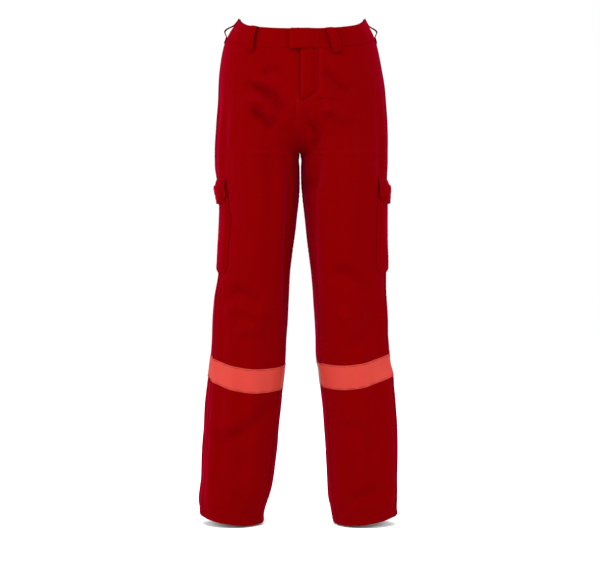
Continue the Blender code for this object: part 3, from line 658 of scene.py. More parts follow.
def drape():
    """How far the cloth hangs from the smooth surface, as a grid for each leg, wider than the leg."""
    us, drops = np.linspace(0, 1, COLUMNS + 1), np.linspace(0, HEM, ROWS + 1)
    u, drop = spread(us[None, :], drops[:, None])
    simulated = simulate()
    shifts = {name: hang_leg(name, u, drop, simulated) for name in SIDES}
    padded = {}
    above = drops < RISE
    mirror = np.array([-1.0, 1.0, 1.0])
    for name, other in (("left", "right"), ("right", "left")):
        own = shifts[name]
        before, after = own[:, -PAD - 1:-1].copy(), own[:, 1:PAD + 1].copy()
        before[above] = shifts[other][above][:, PAD:0:-1] * mirror
        after[above] = shifts[other][above][:, -2:-PAD - 2:-1] * mirror
        padded[name] = np.concatenate([before, own, after], axis=1)
    return padded


SHIFTS = {}


# ---------------------------------------------------------------- points on the draped cloth
def draped(name, u, drop):
    """Points of the cloth's outer face as it hangs, with x away from the middle."""
    u, drop = spread(u, drop)
    rows = np.clip(drop / HEM, 0, 1) * ROWS
    columns = np.clip(u * COLUMNS + PAD, 0, COLUMNS + 2 * PAD)
    return surface(u, drop) + resample(SHIFTS[name], rows, columns)


def skin(name, u, drop, lift=0.0):
    """Points at a height above the cloth's outer face, and its normals, in the row frame."""
    u, drop, lift = spread(u, drop, lift)
    step_u, step_down = 0.0015, 0.0008
    across = draped(name, u + step_u, drop) - draped(name, u - step_u, drop)
    down = draped(name, u, drop + step_down) - draped(name, u, drop - step_down)
    normal = np.cross(down, across)
    normal /= np.maximum(np.linalg.norm(normal, axis=-1, keepdims=True), 1e-12)
    points = draped(name, u, drop) + normal * lift[..., None]
    mirror = np.array([SIDES[name], 1.0, 1.0])
    return points * mirror, normal * mirror


def round_to(drop, start, distance):
    """The u that lies a distance round the smooth surface from start."""
    drop, start, distance = spread(drop, start, distance)
    steps, step_u = 20, 1e-4
    u = start.copy()
    for _ in range(steps):
        speed = np.linalg.norm(surface(u + step_u, drop) - surface(u - step_u, drop), axis=-1) / (2 * step_u)
        u = u + distance / steps / speed
    return u


def u_at_x(drop, x):
    """The u on the front whose point on the smooth surface lies at x from the middle."""
    drop, x = spread(drop, x)
    low, high = np.full(x.shape, -0.2), np.full(x.shape, 0.5)
    for _ in range(30):
        middle = (low + high) / 2
        under = surface(middle, drop)[..., 0] < x
        low = np.where(under, middle, low)
        high = np.where(under, high, middle)
    return (low + high) / 2


# ---------------------------------------------------------------- making meshes
def new_object(name, verts, faces, material, uvs=None, wear=None, smooth_angle=40.0):
    mesh = bpy.data.meshes.new(name)
    mesh.from_pydata([tuple(v) for v in verts], [], faces)
    mesh.materials.append(material)
    if uvs is not None:
        layer = mesh.uv_layers.new(name="cloth")
        loops = np.zeros(len(mesh.loops), np.int32)
        mesh.loops.foreach_get("vertex_index", loops)
        layer.data.foreach_set("uv", np.asarray(uvs, np.float32)[loops].ravel())
    if wear is not None:
        mesh.attributes.new("wear", "FLOAT", "POINT").data.foreach_set("value", np.asarray(wear, np.float32))
    mesh.polygons.foreach_set("use_smooth", [True] * len(mesh.polygons))
    mesh.set_sharp_from_angle(angle=math.radians(smooth_angle))
    mesh.update()
    obj = bpy.data.objects.new(name, mesh)
    bpy.context.scene.collection.objects.link(obj)
    return obj


def closed_grid(outer, inner, side, ring=False):
    """Verts and faces of a closed sheet with an outer and an inner face."""
    rows, columns = outer.shape[:2]
    verts = np.concatenate([outer.reshape(-1, 3), inner.reshape(-1, 3)])
    count = rows * columns
    flip = side == -1
    faces = []
    last = columns if ring else columns - 1

    def add(a, b, c, d):
        faces.append((d, c, b, a) if flip else (a, b, c, d))

    for r in range(rows - 1):
        for c in range(last):
            n = (c + 1) % columns
            a, b, d, e = r * columns + c, (r + 1) * columns + c, (r + 1) * columns + n, r * columns + n
            add(a, b, d, e)
            add(count + e, count + d, count + b, count + a)
    for c in range(last):
        n = (c + 1) % columns
        add(c, n, count + n, count + c)
        low = (rows - 1) * columns
        add(low + n, low + c, count + low + c, count + low + n)
    if not ring:
        for r in range(rows - 1):
            a, b = r * columns, (r + 1) * columns
            add(b, a, count + a, count + b)
            a, b = a + columns - 1, b + columns - 1
            add(a, b, count + b, count + a)
    return verts, faces


def lay_cloth(title, name, u, drop, lift, thick, material, ring=False, wear=None):
    """A closed sheet of cloth laid on one leg's draped surface; lift is the height of its under face."""
    u, drop, lift, thick = spread(u, drop, lift, thick)
    outer, _ = skin(name, u, drop, lift + thick)
    inner, _ = skin(name, u, drop, lift)
    verts, faces = closed_grid(outer, inner, SIDES[name], ring)
    plan = np.stack([u * MAP_WIDTH, drop], -1).reshape(-1, 2)
    worn = None if wear is None else np.tile(np.broadcast_to(wear, u.shape).ravel(), 2)
    obj = new_object(title, verts, faces, material, np.concatenate([plan, plan]), worn)
    obj["flat_size"] = flat_size(u, drop)
    return obj


def flat_size(u, drop):
    """Width, length and area of the cloth as cut: the same patch on the smooth surface."""
    flat = surface(u, drop)
    across = np.linalg.norm(np.diff(flat, axis=1), axis=-1)
    down = np.linalg.norm(np.diff(flat, axis=0), axis=-1)
    cells = np.linalg.norm(np.cross(flat[1:, :-1] - flat[:-1, :-1], flat[:-1, 1:] - flat[:-1, :-1]), axis=-1)
    return [float(across.sum(1).max()), float(down.sum(0).max()), float(cells.sum())]


def close_places(length, radius, cells, marks=()):
    """Places along a piece from 0 to length, closer together by its ends and by its stitching."""
    near = [0.0, radius * 0.15, radius * 0.45, radius]
    places = near + [length - k for k in near]
    places += list(np.linspace(0, length, cells + 1)[1:-1])
    for mark in marks:
        places += [mark - 0.0009, mark, mark + 0.0009]
    places = sorted(p for p in places if 0 <= p <= length)
    kept = [places[0]]
    for place in places[1:]:
        if place - kept[-1] > 0.00015:
            kept.append(place)
    kept[-1] = length
    return np.array(kept)


def edge_round(distance, radius):
    """Share of full thickness at a distance from a folded edge, 0.12 at the edge itself."""
    t = np.clip(distance / radius, 0, 1)
    return 0.12 + 0.88 * np.sqrt(1 - (1 - t) ** 2)


def border_distance(s, t, width, height):
    """Distance of each place (s across, t down) from the border of a width by height piece."""
    return np.minimum(np.minimum(s, width - s), np.minimum(t, height - t))


def sewn(distance, marks, depth=THREAD_PULL):
    """How far the thread pulls the cloth in, at a distance from an edge that stitching follows."""
    total = 0.0
    for mark in marks:
        total = total + depth * bell(distance - mark, 0.0012)
    return total


# ---------------------------------------------------------------- stitching
STITCHES = {}


def stitch_line(group, name, u, drop, lift, pitch=STITCH_PITCH, length=STITCH_LENGTH):
    """Stitches in a row along a line on one leg's cloth, kept for one object per group."""
    line = spread(u, drop, lift)
    rough, _ = skin(name, *line)
    run = np.concatenate([[0], np.cumsum(np.linalg.norm(np.diff(rough, axis=0), axis=-1))])
    count = max(int(run[-1] / pitch), 1)
    middles = (np.arange(count) + 0.5) * run[-1] / count
    points, normals = skin(name, *(np.interp(middles, run, a) for a in line))
    ahead, _ = skin(name, *(np.interp(middles + STITCH_STEP, run, a) for a in line))
    behind, _ = skin(name, *(np.interp(middles - STITCH_STEP, run, a) for a in line))
    lengthwise = ahead - behind
    lengthwise /= np.maximum(np.linalg.norm(lengthwise, axis=-1, keepdims=True), 1e-9)
    STITCHES.setdefault(group, []).append((points, normals, lengthwise, np.full(count, length)))


def bar_tack(group, name, u, drop, lift, width, height):
    """A short block of close stitches that holds an end or a corner."""
    rows = 5
    for k in range(rows):
        level = drop + height * (k / (rows - 1) - 0.5)
        ends = round_to(level, u, np.array([-width / 2, width / 2]))
        line = np.linspace(ends[0], ends[1], 5)
        stitch_line(group, name, line, level, lift, pitch=width * 0.99, length=width * 0.97)


def stitch_shape():
    """One stitch: rings along its length (share of it, width, height in radii) with sunken ends."""
    rings = ((-0.5, 0.35, -0.9), (-0.25, 0.95, 0.15), (0.0, 1.0, 0.35), (0.25, 0.95, 0.15), (0.5, 0.35, -0.9))
    around = 5
    turns = [2 * math.pi * k / around for k in range(around)]
    template = []
    for share, wide, high in rings:
        template += [(share, wide * math.cos(a), wide * math.sin(a) + high) for a in turns]
    faces = []
    for r in range(len(rings) - 1):
        for k in range(around):
            n = (k + 1) % around
            faces.append((r * around + k, r * around + n, (r + 1) * around + n, (r + 1) * around + k))
    faces.append(tuple(range(around))[::-1])
    faces.append(tuple((len(rings) - 1) * around + k for k in range(around)))
    return np.array(template), faces


def build_stitches(material):
    """One object for each group of stitches."""
    template, faces = stitch_shape()
    made = {}
    for group, lines in STITCHES.items():
        points, normals, lengthwise, lengths = (np.concatenate([line[k] for line in lines]) for k in range(4))
        crosswise = np.cross(normals, lengthwise)
        verts = (
            points[:, None]
            + lengthwise[:, None] * (template[None, :, :1] * lengths[:, None, None])
            + crosswise[:, None] * (template[None, :, 1:2] * STITCH_RADIUS)
            + normals[:, None] * (template[None, :, 2:3] * STITCH_RADIUS)
        ).reshape(-1, 3)
        every = [tuple(i + s * len(template) for i in face) for s in range(len(points)) for face in faces]
        plan = np.tile(template[:, :2], (len(points), 1)) * (STITCH_LENGTH, 0.0005)
        made[group] = new_object(group, verts, every, material, plan, smooth_angle=80)
    return made


# ---------------------------------------------------------------- materials
class Paint:
    """A small helper to wire a node material."""

    def __init__(self, name):
        self.material = bpy.data.materials.new(name)
        self.material.use_nodes = True
        self.nodes = self.material.node_tree.nodes
        self.links = self.material.node_tree.links
        self.shader = self.nodes["Principled BSDF"]

    def add(self, kind, **values):
        node = self.nodes.new(kind)
        for key, value in values.items():
            setattr(node, key, value)
        return node

    def link(self, out, into):
        self.links.new(out, into)

    def math(self, operation, a, b=None):
        node = self.add("ShaderNodeMath", operation=operation)
        for k, value in enumerate((a, b)):
            if value is None:
                continue
            if isinstance(value, (int, float)):
                node.inputs[k].default_value = value
            else:
                self.link(value, node.inputs[k])
        return node.outputs[0]

    def wave(self, along_vector, pitch):
        """A 0 to 1 wave of that pitch, in metres, along a direction of the cloth's own map."""
        spot = self.add("ShaderNodeUVMap", uv_map="cloth")
        dot = self.add("ShaderNodeVectorMath", operation="DOT_PRODUCT")
        self.link(spot.outputs["UV"], dot.inputs[0])
        dot.inputs[1].default_value = (*along_vector, 0.0)
        turns = self.math("MULTIPLY", dot.outputs["Value"], 2 * math.pi / pitch)
        return self.math("MULTIPLY_ADD", self.math("SINE", turns), 0.5)

    def noise(self, scale, detail=3.0, stretch=(1.0, 1.0, 1.0)):
        spot = self.add("ShaderNodeUVMap", uv_map="cloth")
        place = self.add("ShaderNodeMapping")
        place.inputs["Scale"].default_value = stretch
        self.link(spot.outputs["UV"], place.inputs["Vector"])
        made = self.add("ShaderNodeTexNoise")
        made.inputs["Scale"].default_value = scale
        made.inputs["Detail"].default_value = detail
        self.link(place.outputs["Vector"], made.inputs["Vector"])
        return made.outputs["Fac"]

    def mix(self, factor, low, high):
        node = self.add("ShaderNodeMix", data_type="RGBA")
        self.link(factor, node.inputs["Factor"])
        for socket, value in ((node.inputs["A"], low), (node.inputs["B"], high)):
            if isinstance(value, tuple):
                socket.default_value = (*value, 1.0)
            else:
                self.link(value, socket)
        return node.outputs["Result"]

    def bump(self, height, strength, distance):
        node = self.add("ShaderNodeBump")
        node.inputs["Strength"].default_value = strength
        node.inputs["Distance"].default_value = distance
        self.link(height, node.inputs["Height"])
        self.link(node.outputs["Normal"], self.shader.inputs["Normal"])


def cloth_paint(name, color, rib, pitch, sheen=0.18, roughness=0.86):
    """Woven cloth: ribs of yarn in a direction, flecks of yarn, soft fading, and wear by the seams."""
    paint = Paint(name)
    dark = tuple(c * 0.94 for c in color)
    light = tuple(c * 1.05 for c in color)
    faded = tuple(c * 1.2 + 0.0005 for c in color)
    broad = paint.noise(7.0, 4.0, (1.0, 0.6, 1.0))
    flecks = paint.noise(900.0, 2.0, (1.0, 0.25, 1.0))
    base = paint.mix(paint.math("MULTIPLY_ADD", flecks, 0.5), dark, light)
    base = paint.mix(paint.math("MULTIPLY", broad, 0.55), base, tuple(c * 0.95 for c in color))
    worn = paint.add("ShaderNodeAttribute", attribute_name="wear")
    rubbed = paint.math("MULTIPLY", worn.outputs["Fac"], paint.noise(160.0, 3.0))
    base = paint.mix(rubbed, base, faded)
    paint.link(base, paint.shader.inputs["Base Color"])
    rough = paint.math("MULTIPLY_ADD", broad, 0.10)
    paint.nodes[rough.node.name].inputs[2].default_value = roughness - 0.05
    paint.link(rough, paint.shader.inputs["Roughness"])
    paint.shader.inputs["Specular IOR Level"].default_value = 0.0
    paint.shader.inputs["Sheen Weight"].default_value = sheen
    paint.shader.inputs["Sheen Roughness"].default_value = 0.45
    paint.shader.inputs["Sheen Tint"].default_value = (1.0, 0.006, 0.09, 1.0)
    ribs = paint.wave(rib, pitch)
    yarn = paint.wave((rib[1], -rib[0]), pitch * 0.6)
    weave = paint.math("ADD", ribs, paint.math("MULTIPLY", yarn, 0.4))
    fuzz = paint.math("MULTIPLY", paint.noise(2200.0, 2.0), 0.8)
    paint.bump(paint.math("ADD", weave, fuzz), 0.35, 0.00022)
    return paint.material


def reflective_paint(name):
    """Coral retroreflective tape: glass beads under a tinted face, with a fine pressed lattice."""
    paint = Paint(name)
    lattice = paint.math("MULTIPLY", paint.wave((0.7, 0.7), 0.0021), paint.wave((0.7, -0.7), 0.0021))
    broad = paint.noise(16.0, 3.0)
    base = paint.mix(broad, (0.270, 0.0205, 0.0148), (0.291, 0.0242, 0.0172))
    base = paint.mix(paint.math("MULTIPLY", lattice, 0.30), base, (0.312, 0.0290, 0.0215))
    worn = paint.add("ShaderNodeAttribute", attribute_name="wear")
    base = paint.mix(paint.math("MULTIPLY", worn.outputs["Fac"], 0.35), base, (0.221, 0.0130, 0.0097))
    paint.link(base, paint.shader.inputs["Base Color"])
    paint.shader.inputs["Roughness"].default_value = 0.50
    paint.shader.inputs["Specular IOR Level"].default_value = 0.06
    beads = paint.noise(5200.0, 1.0)
    paint.bump(paint.math("ADD", beads, paint.math("MULTIPLY", lattice, 0.8)), 0.25, 0.00015)
    return paint.material


def metal_paint(name, color):
    """Satin zip metal, lightly scratched by use."""
    paint = Paint(name)
    spot = paint.add("ShaderNodeTexCoord")
    rubbing = paint.add("ShaderNodeTexNoise")
    rubbing.inputs["Scale"].default_value = 700.0
    paint.link(spot.outputs["Object"], rubbing.inputs["Vector"])
    base = paint.mix(rubbing.outputs["Fac"], color, tuple(c * 0.72 for c in color))
    paint.link(base, paint.shader.inputs["Base Color"])
    paint.shader.inputs["Metallic"].default_value = 1.0
    rough = paint.math("MULTIPLY_ADD", rubbing.outputs["Fac"], 0.25)
    paint.nodes[rough.node.name].inputs[2].default_value = 0.24
    paint.link(rough, paint.shader.inputs["Roughness"])
    paint.bump(rubbing.outputs["Fac"], 0.15, 0.00005)
    return paint.material


RED = (0.0940, 0.0001, 0.0002)
TWILL = cloth_paint("red_twill", RED, (0.86, 0.50), 0.00115)
LINING = cloth_paint("pocket_lining", (0.085, 0.002, 0.002), (1.0, 0.0), 0.0007, sheen=0.1)
TAPE = cloth_paint("woven_tape", (0.085, 0.0006, 0.0008), (0.0, 1.0), 0.0009, sheen=0.1)
THREAD = cloth_paint("red_thread", (0.092, 0.0003, 0.0005), (0.5, 0.86), 0.0004, sheen=0.3, roughness=0.6)
HOOKS = cloth_paint("hook_and_loop", (0.07, 0.0005, 0.0006), (1.0, 0.0), 0.0011, sheen=0.6)
REFLECTIVE = reflective_paint("coral_reflective")
METAL = metal_paint("zip_metal", (0.62, 0.60, 0.56))


# ---------------------------------------------------------------- how pieces move
def attach(obj, how):
    """Ties a piece to the body it rides on; a piece that would bend between two bodies only has its transform
    baked.
    """
    if how == "hip":
        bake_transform(obj)
    elif how == "knee":
        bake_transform(obj)
    elif how == "thigh_flap":
        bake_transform(obj)
    elif how == "seat_flap":
        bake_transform(obj)
    elif how == "tab":
        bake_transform(obj)
    elif how == "fly":
        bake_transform(obj)
    else:
        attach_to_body(obj, how)


SEWN_ON = {}  # for each group of stitches: how it moves, its side, and the cloth it is sewn through


def finish_cloth(obj, how, nodes):
    """Attaches a piece, hides the CAD nodes that it stands for, and drops its size as cut."""
    attach(obj, how)
    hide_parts(*nodes)
    del obj["flat_size"]


# ---------------------------------------------------------------- cloth of the legs
def fly_x(drop):
    """The J-shaped line of the fly: how far it lies from the centre front."""
    curve_top = FLY_BOTTOM - FLY_WIDTH * 0.9
    t = np.clip((drop - curve_top) / (FLY_BOTTOM - curve_top), 0.0, 1.0)
    return FLY_WIDTH * np.sqrt(1 - t * t)


def front_start(name, drop):
    """The front panel's inner edge: the fly's line on the left, then the centre seam and inseam."""
    lap = SEAM_LAP * (1 - smooth((drop - RISE + 0.035) / 0.02)) if name == "left" else -0.0004
    start = round_to(drop, 0.0, leg_seams(drop) - lap)
    fly = fly_x(drop) + 0.0002 if name == "left" else -FLY_UNDERLAP * fly_x(drop) / FLY_WIDTH
    return np.where(drop < FLY_BOTTOM, u_at_x(drop, fly), start)


def front_end(drop):
    return round_to(drop, 0.5, -leg_seams(drop))


def back_lap(name, drop):
    """How far the back panel laps over its neighbour at the inseam, and on the left at the centre seam."""
    lap = SEAM_LAP * smooth((drop - RISE - 0.004) / 0.02)
    if name == "left":
        lap = lap + np.where(drop < RISE, SEAM_LAP * (1 - smooth((drop - RISE + 0.03) / 0.02)), 0.0)
    return lap


def arc_from(u, start, drop):
    """Rough distance along the surface from start to u, at a drop."""
    return (u - start) * np.maximum(rough_girth(drop), 0.44) * 1.05


def felled(from_edge):
    """How far a felled seam lifts the cloth at a distance from its edge, and its stitching pulls it in."""
    return LAYER * (1 - smooth((from_edge - SEAM_LAP) / 0.006)) - sewn(from_edge, SEAM_ROWS)


def front_lift(name, drop, from_edge):
    """The left front laps over the right one below the fly; the right one dips under the fly overlap."""
    if name == "left":
        laps = smooth((drop - FLY_BOTTOM) / 0.01) * (1 - smooth((drop - RISE + 0.03) / 0.02))
        return felled(from_edge) * laps
    under = smooth((0.010 - from_edge) / 0.006) * (drop < FLY_BOTTOM) * fly_x(drop) / FLY_WIDTH
    return -0.0018 * under


def finish_panel(panel, name, face, part):
    """Finishes a leg's cloth above or below the knee: its transform is baked and its CAD panels are hidden.
    """
    how = "hip" if part == "upper" else "knee"
    nodes = [f"{name}_{node}" for node in PANEL_NODES[face, part]]
    finish_cloth(panel, how, nodes)


def lay_front(name, part, drop):
    """The front cloth of a leg's part; returns it and the u of its inner edge."""
    start, end = front_start(name, drop), front_end(drop)
    u = start + (end - start) * np.linspace(0, 1, COLUMNS // 2)[None, :]
    from_start, from_end = (u - start) * ROUGH_METRES, (end - u) * ROUGH_METRES
    lift = front_lift(name, drop, from_start) - CLOTH
    wear = bell(from_start, 0.006) + bell(from_end, 0.006)
    front = lay_cloth(f"{name}_front_{part}_cloth", name, u, drop, lift, CLOTH, TWILL, wear=wear)
    finish_panel(front, name, "front", part)
    return front, start[:, 0]


def lay_back(name, part, drop):
    """The back cloth of a leg's part, which laps over the front; returns the u of its two edges."""
    side_lap = SEAM_LAP * smooth((drop - BAND_HEIGHT) / 0.004)
    lap = back_lap(name, drop)
    first = round_to(drop, 0.5, -leg_seams(drop) - side_lap)
    last = round_to(drop, 1.0, leg_seams(drop) + lap)
    near = np.array([0.0, 0.0008, 0.0016, 0.0026, 0.0045, 0.0066, 0.0078, 0.0090, 0.0120])
    lead = round_to(drop, first, near[None, :])
    tail = round_to(drop, last, -near[None, ::-1])
    middle = lead[:, -1:] + (tail[:, :1] - lead[:, -1:]) * np.linspace(0, 1, COLUMNS // 2)[None, 1:-1]
    u = np.concatenate([lead, middle, tail], axis=1)
    from_first, from_last = arc_from(u, first, drop), arc_from(last, u, drop)
    lapped = lap / SEAM_LAP
    lift = felled(from_first) + lapped * felled(from_last) - CLOTH
    wear = bell(from_first, 0.004) + lapped * bell(from_last, 0.004)
    back = lay_cloth(f"{name}_back_{part}_cloth", name, u, drop, lift, CLOTH, TWILL, wear=wear)
    finish_panel(back, name, "back", part)
    return first[:, 0], last[:, 0]


def make_leg(name):
    """Front and back cloth of one leg, each in an upper and a lower piece, and their seams."""
    top = BAND_HEIGHT - 0.004
    by_fly_end = FLY_BOTTOM - np.array(FLY_END_PLACES + (0.0004, 0.0))
    even = np.linspace(top, SPLIT, int(ROWS * (SPLIT - top) / HEM))
    upper = np.unique(np.concatenate([even, by_fly_end]))
    lower = np.linspace(SPLIT, HEM, int(ROWS * (HEM - SPLIT) / HEM))
    for part, drops in (("upper", upper), ("lower", lower)):
        front, start = lay_front(name, part, drops[:, None])
        first, last = lay_back(name, part, drops[:, None])
        runs = [(first, 1, drops > 0), (last, -1, drops > RISE + 0.022)]
        if (name, part) == ("left", "upper"):
            runs.append((last, -1, drops < RISE - 0.032))
            runs.append((start, 1, (drops > FLY_BOTTOM + 0.006) & (drops < RISE - 0.034)))
        group = f"{name}_{part}_seam_stitching"
        for offset in SEAM_ROWS:
            for edge, away, shown in runs:
                line = round_to(drops, edge, away * offset)[shown]
                stitch_line(group, name, line, drops[shown], LAYER - THREAD_PULL)
        SEWN_ON[group] = ("hip" if part == "upper" else "knee", name, front)


# ---------------------------------------------------------------- waistband, tab, fly and loops
def band_places():
    return close_places(BAND_HEIGHT, BAND_ROUND, 14, (EDGE_ROW, BAND_HEIGHT - EDGE_ROW))


def band_profile(drop):
    """Under face and thickness of the doubled waistband, rounded at its upper and lower folds."""
    near = np.minimum(drop, BAND_HEIGHT - drop)
    full = BAND_CLOTH + 0.0004
    share = edge_round(near, BAND_ROUND)
    return -0.0017 + full * (1 - share) / 2, full * share - sewn(near, (EDGE_ROW,), DOUBLE_PULL)


def make_waistband():
    """The two halves of the waistband."""
    drop = band_places()[:, None]
    lift, thick = band_profile(drop)
    for name, first_x in (("left", FLY_WIDTH), ("right", -0.005)):
        start = u_at_x(drop, first_x)
        u = start + (1.0 - start) * np.linspace(0, 1, 120)[None, :]
        ripple = 0.0006 * np.sin(u * 61.0 + 1.3) * np.sin(drop / BAND_HEIGHT * np.pi)
        wear = bell(drop, 0.003) * 0.9
        band = lay_cloth(f"waistband_{name}_cloth", name, u, drop, lift + ripple, thick, TWILL, wear=wear)
        finish_cloth(band, "waist", ("waistband_" + name,))
        for offset in (EDGE_ROW, BAND_HEIGHT - EDGE_ROW):
            line = np.linspace(float(u_at_x(offset, first_x + 0.002)), 0.998, 160)
            stitch_line("waistband_stitching", name, line, offset, BAND_FACE)
    SEWN_ON["waistband_stitching"] = ("waist", name, band)


def tab_lift(x):
    """How far the tab stands off the right half of the band, at x from the middle."""
    return TAB_LIFT * (1 - smooth((x - 0.012) / (FLY_WIDTH - 0.012)))


def make_tab():
    """The end of the left half of the waistband, which laps over the centre front."""
    corner, row = 0.003, 0.0022
    places = band_places()[:, None]
    from_end = close_places(FLY_WIDTH + TAB_OVERLAP, BAND_ROUND, 22, (EDGE_ROW,))[None, :]
    x = from_end - TAB_OVERLAP
    inset = rounding(corner - from_end, corner)
    drop = inset + places / BAND_HEIGHT * (BAND_HEIGHT - 2 * inset)
    lift, thick = band_profile(places)
    end = edge_round(from_end, BAND_ROUND)
    lift = lift + (BAND_CLOTH / 2) * (1 - end) + tab_lift(x)
    thick = thick * end - sewn(from_end, (EDGE_ROW,), DOUBLE_PULL)
    wear = bell(from_end, 0.004)
    tab = lay_cloth("waist_tab_cloth", "left", u_at_x(drop, x), drop, lift, thick, TWILL, wear=wear)
    finish_cloth(tab, "tab", ("waist_tab",))

    line = np.linspace(row - TAB_OVERLAP, FLY_WIDTH - 0.001, 40)
    bend = rounding(corner - (line + TAB_OVERLAP), corner)
    for drops in (row + bend, BAND_HEIGHT - row - bend):
        stitch_line("waist_tab_stitching", "left", u_at_x(drops, line), drops, BAND_FACE + tab_lift(line))
    down = np.linspace(0.008, BAND_HEIGHT - 0.008, 20)
    end_u = u_at_x(down, row - TAB_OVERLAP)
    stitch_line("waist_tab_stitching", "left", end_u, down, BAND_FACE + TAB_LIFT)
    SEWN_ON["waist_tab_stitching"] = ("tab", "left", tab)


def make_fly():
    """The overlap over the zip, with its J-shaped stitching."""
    even = np.linspace(BAND_HEIGHT - 0.004, FLY_BOTTOM - 0.0004, 64)
    drops = np.unique(np.concatenate([even, FLY_BOTTOM - np.array(FLY_END_PLACES)]))
    drop = drops[:, None]
    depth = fly_x(drop) / FLY_WIDTH
    first = u_at_x(drop, FLY_EDGE * depth)
    last = u_at_x(drop, fly_x(drop) - 0.0002)
    by_edges = [0.012, 0.03, 0.05, 0.08, 0.95, 0.97, 0.985]
    share = np.unique(np.concatenate([np.linspace(0, 1, 34), by_edges]))[None, :]
    from_edge = share * (FLY_WIDTH - FLY_EDGE) * depth
    raised = 0.0006 * depth * (1 - smooth((share - 0.1) / 0.3))
    bulge = (0.0008 + 0.0032 * smooth(from_edge / 0.008)) * (1 - smooth((share - 0.40) / 0.45)) * depth
    crease = -0.0004 * bell(share - 0.36, 0.05) * depth
    slim = edge_round(from_edge, 0.0014)
    lift = raised + bulge + crease - CLOTH * slim
    thick = CLOTH * (0.3 + 0.7 * slim)
    u = first + (last - first) * share
    wear = bell(from_edge, 0.003)
    flap = lay_cloth("fly_overlap_cloth", "left", u, drop, lift, thick, TWILL, wear=wear)
    finish_cloth(flap, "fly", ("fly_overlap",))

    line = drops[drops < FLY_BOTTOM - 0.001]
    width = fly_x(line)
    for inset in (0.0030, 0.0092):
        reach = np.maximum(width - inset, 0.0)
        height = 0.0040 * (1 - smooth((reach / np.maximum(width, 1e-6) - 0.49) / 0.40)) * width / FLY_WIDTH
        keep = width > inset + 0.002
        stitch_line("fly_stitching", "left", u_at_x(line, reach)[keep], line[keep], (height + 0.0001)[keep])
    SEWN_ON["fly_stitching"] = ("fly", "left", flap)
    tack_u = float(u_at_x(FLY_BOTTOM - 0.004, 0.004))
    bar_tack("waist_front_stitching", "left", tack_u, FLY_BOTTOM + 0.004, 0.0012, 0.009, 0.004)
    edge = np.linspace(BAND_HEIGHT + 0.002, FLY_BOTTOM - 0.012, 60)
    stitch_line("waist_front_stitching", "right", u_at_x(edge, 0.0010), edge, -0.0002)
    SEWN_ON["waist_front_stitching"] = ("waist", "left", flap)


def make_shield():
    """The cloth behind the zip."""
    drop = np.linspace(BAND_HEIGHT + 0.001, FLY_BOTTOM, 40)[:, None]
    across = np.linspace(0, SHIELD_WIDTH, 20)[None, :]
    x = ZIP_OFFSET - SHIELD_WIDTH / 2 + across
    slim = edge_round(border_distance(across, drop - drop[0, 0], SHIELD_WIDTH, FLY_BOTTOM), 0.002)
    lift = -SHIELD_DEPTH - SHIELD_CLOTH + 0.0005 * np.sin(drop * 90.0 + x * 60)
    shield = lay_cloth("fly_shield_cloth", "left", u_at_x(drop, x), drop, lift, SHIELD_CLOTH * slim, LINING)
    finish_cloth(shield, "waist", ("fly_shield",))


def loop_arch(t, at_side):
    """How far a loop stands off the band down its length; the side ones bow out, and lower down."""
    if at_side:
        return LOOP_LIFT * (0.04 + 1.05 * smooth((t - 0.24) / 0.36) * (1 - smooth((t - 0.60) / 0.17)))
    return LOOP_LIFT * 0.80 * np.sin(np.pi * t) ** 0.62


def loop_sag(t, k):
    """A small sag that makes each loop hang its own way."""
    return 0.0010 * np.sin(t * 5.0 + k * 1.7) * np.sin(np.pi * t)


def make_belt_loops():
    """Folded strips that stand off the waistband, tacked above and below it."""
    middle = BAND_HEIGHT / 2
    places = {  # side, u, and how far the lower end leans towards the back
        "belt_loop_front_left": ("left", float(u_at_x(middle, 0.0715)), 0.012),
        "belt_loop_front_right": ("right", float(u_at_x(middle, 0.105)), 0.0),
        "belt_loop_side_left": ("left", 0.5, 0.002),
        "belt_loop_side_right": ("right", 0.5, -0.001),
        "belt_loop_back_left": ("left", 0.76, 0.0),
        "belt_loop_back_right": ("right", 0.76, 0.0),
        "belt_loop_centre_back": ("left", 1.0, 0.0),
    }
    for k, (node, (name, u, slant)) in enumerate(places.items()):
        loop = make_belt_loop(k, node, name, u, slant)
    SEWN_ON["belt_loop_stitching"] = ("waist", name, loop)


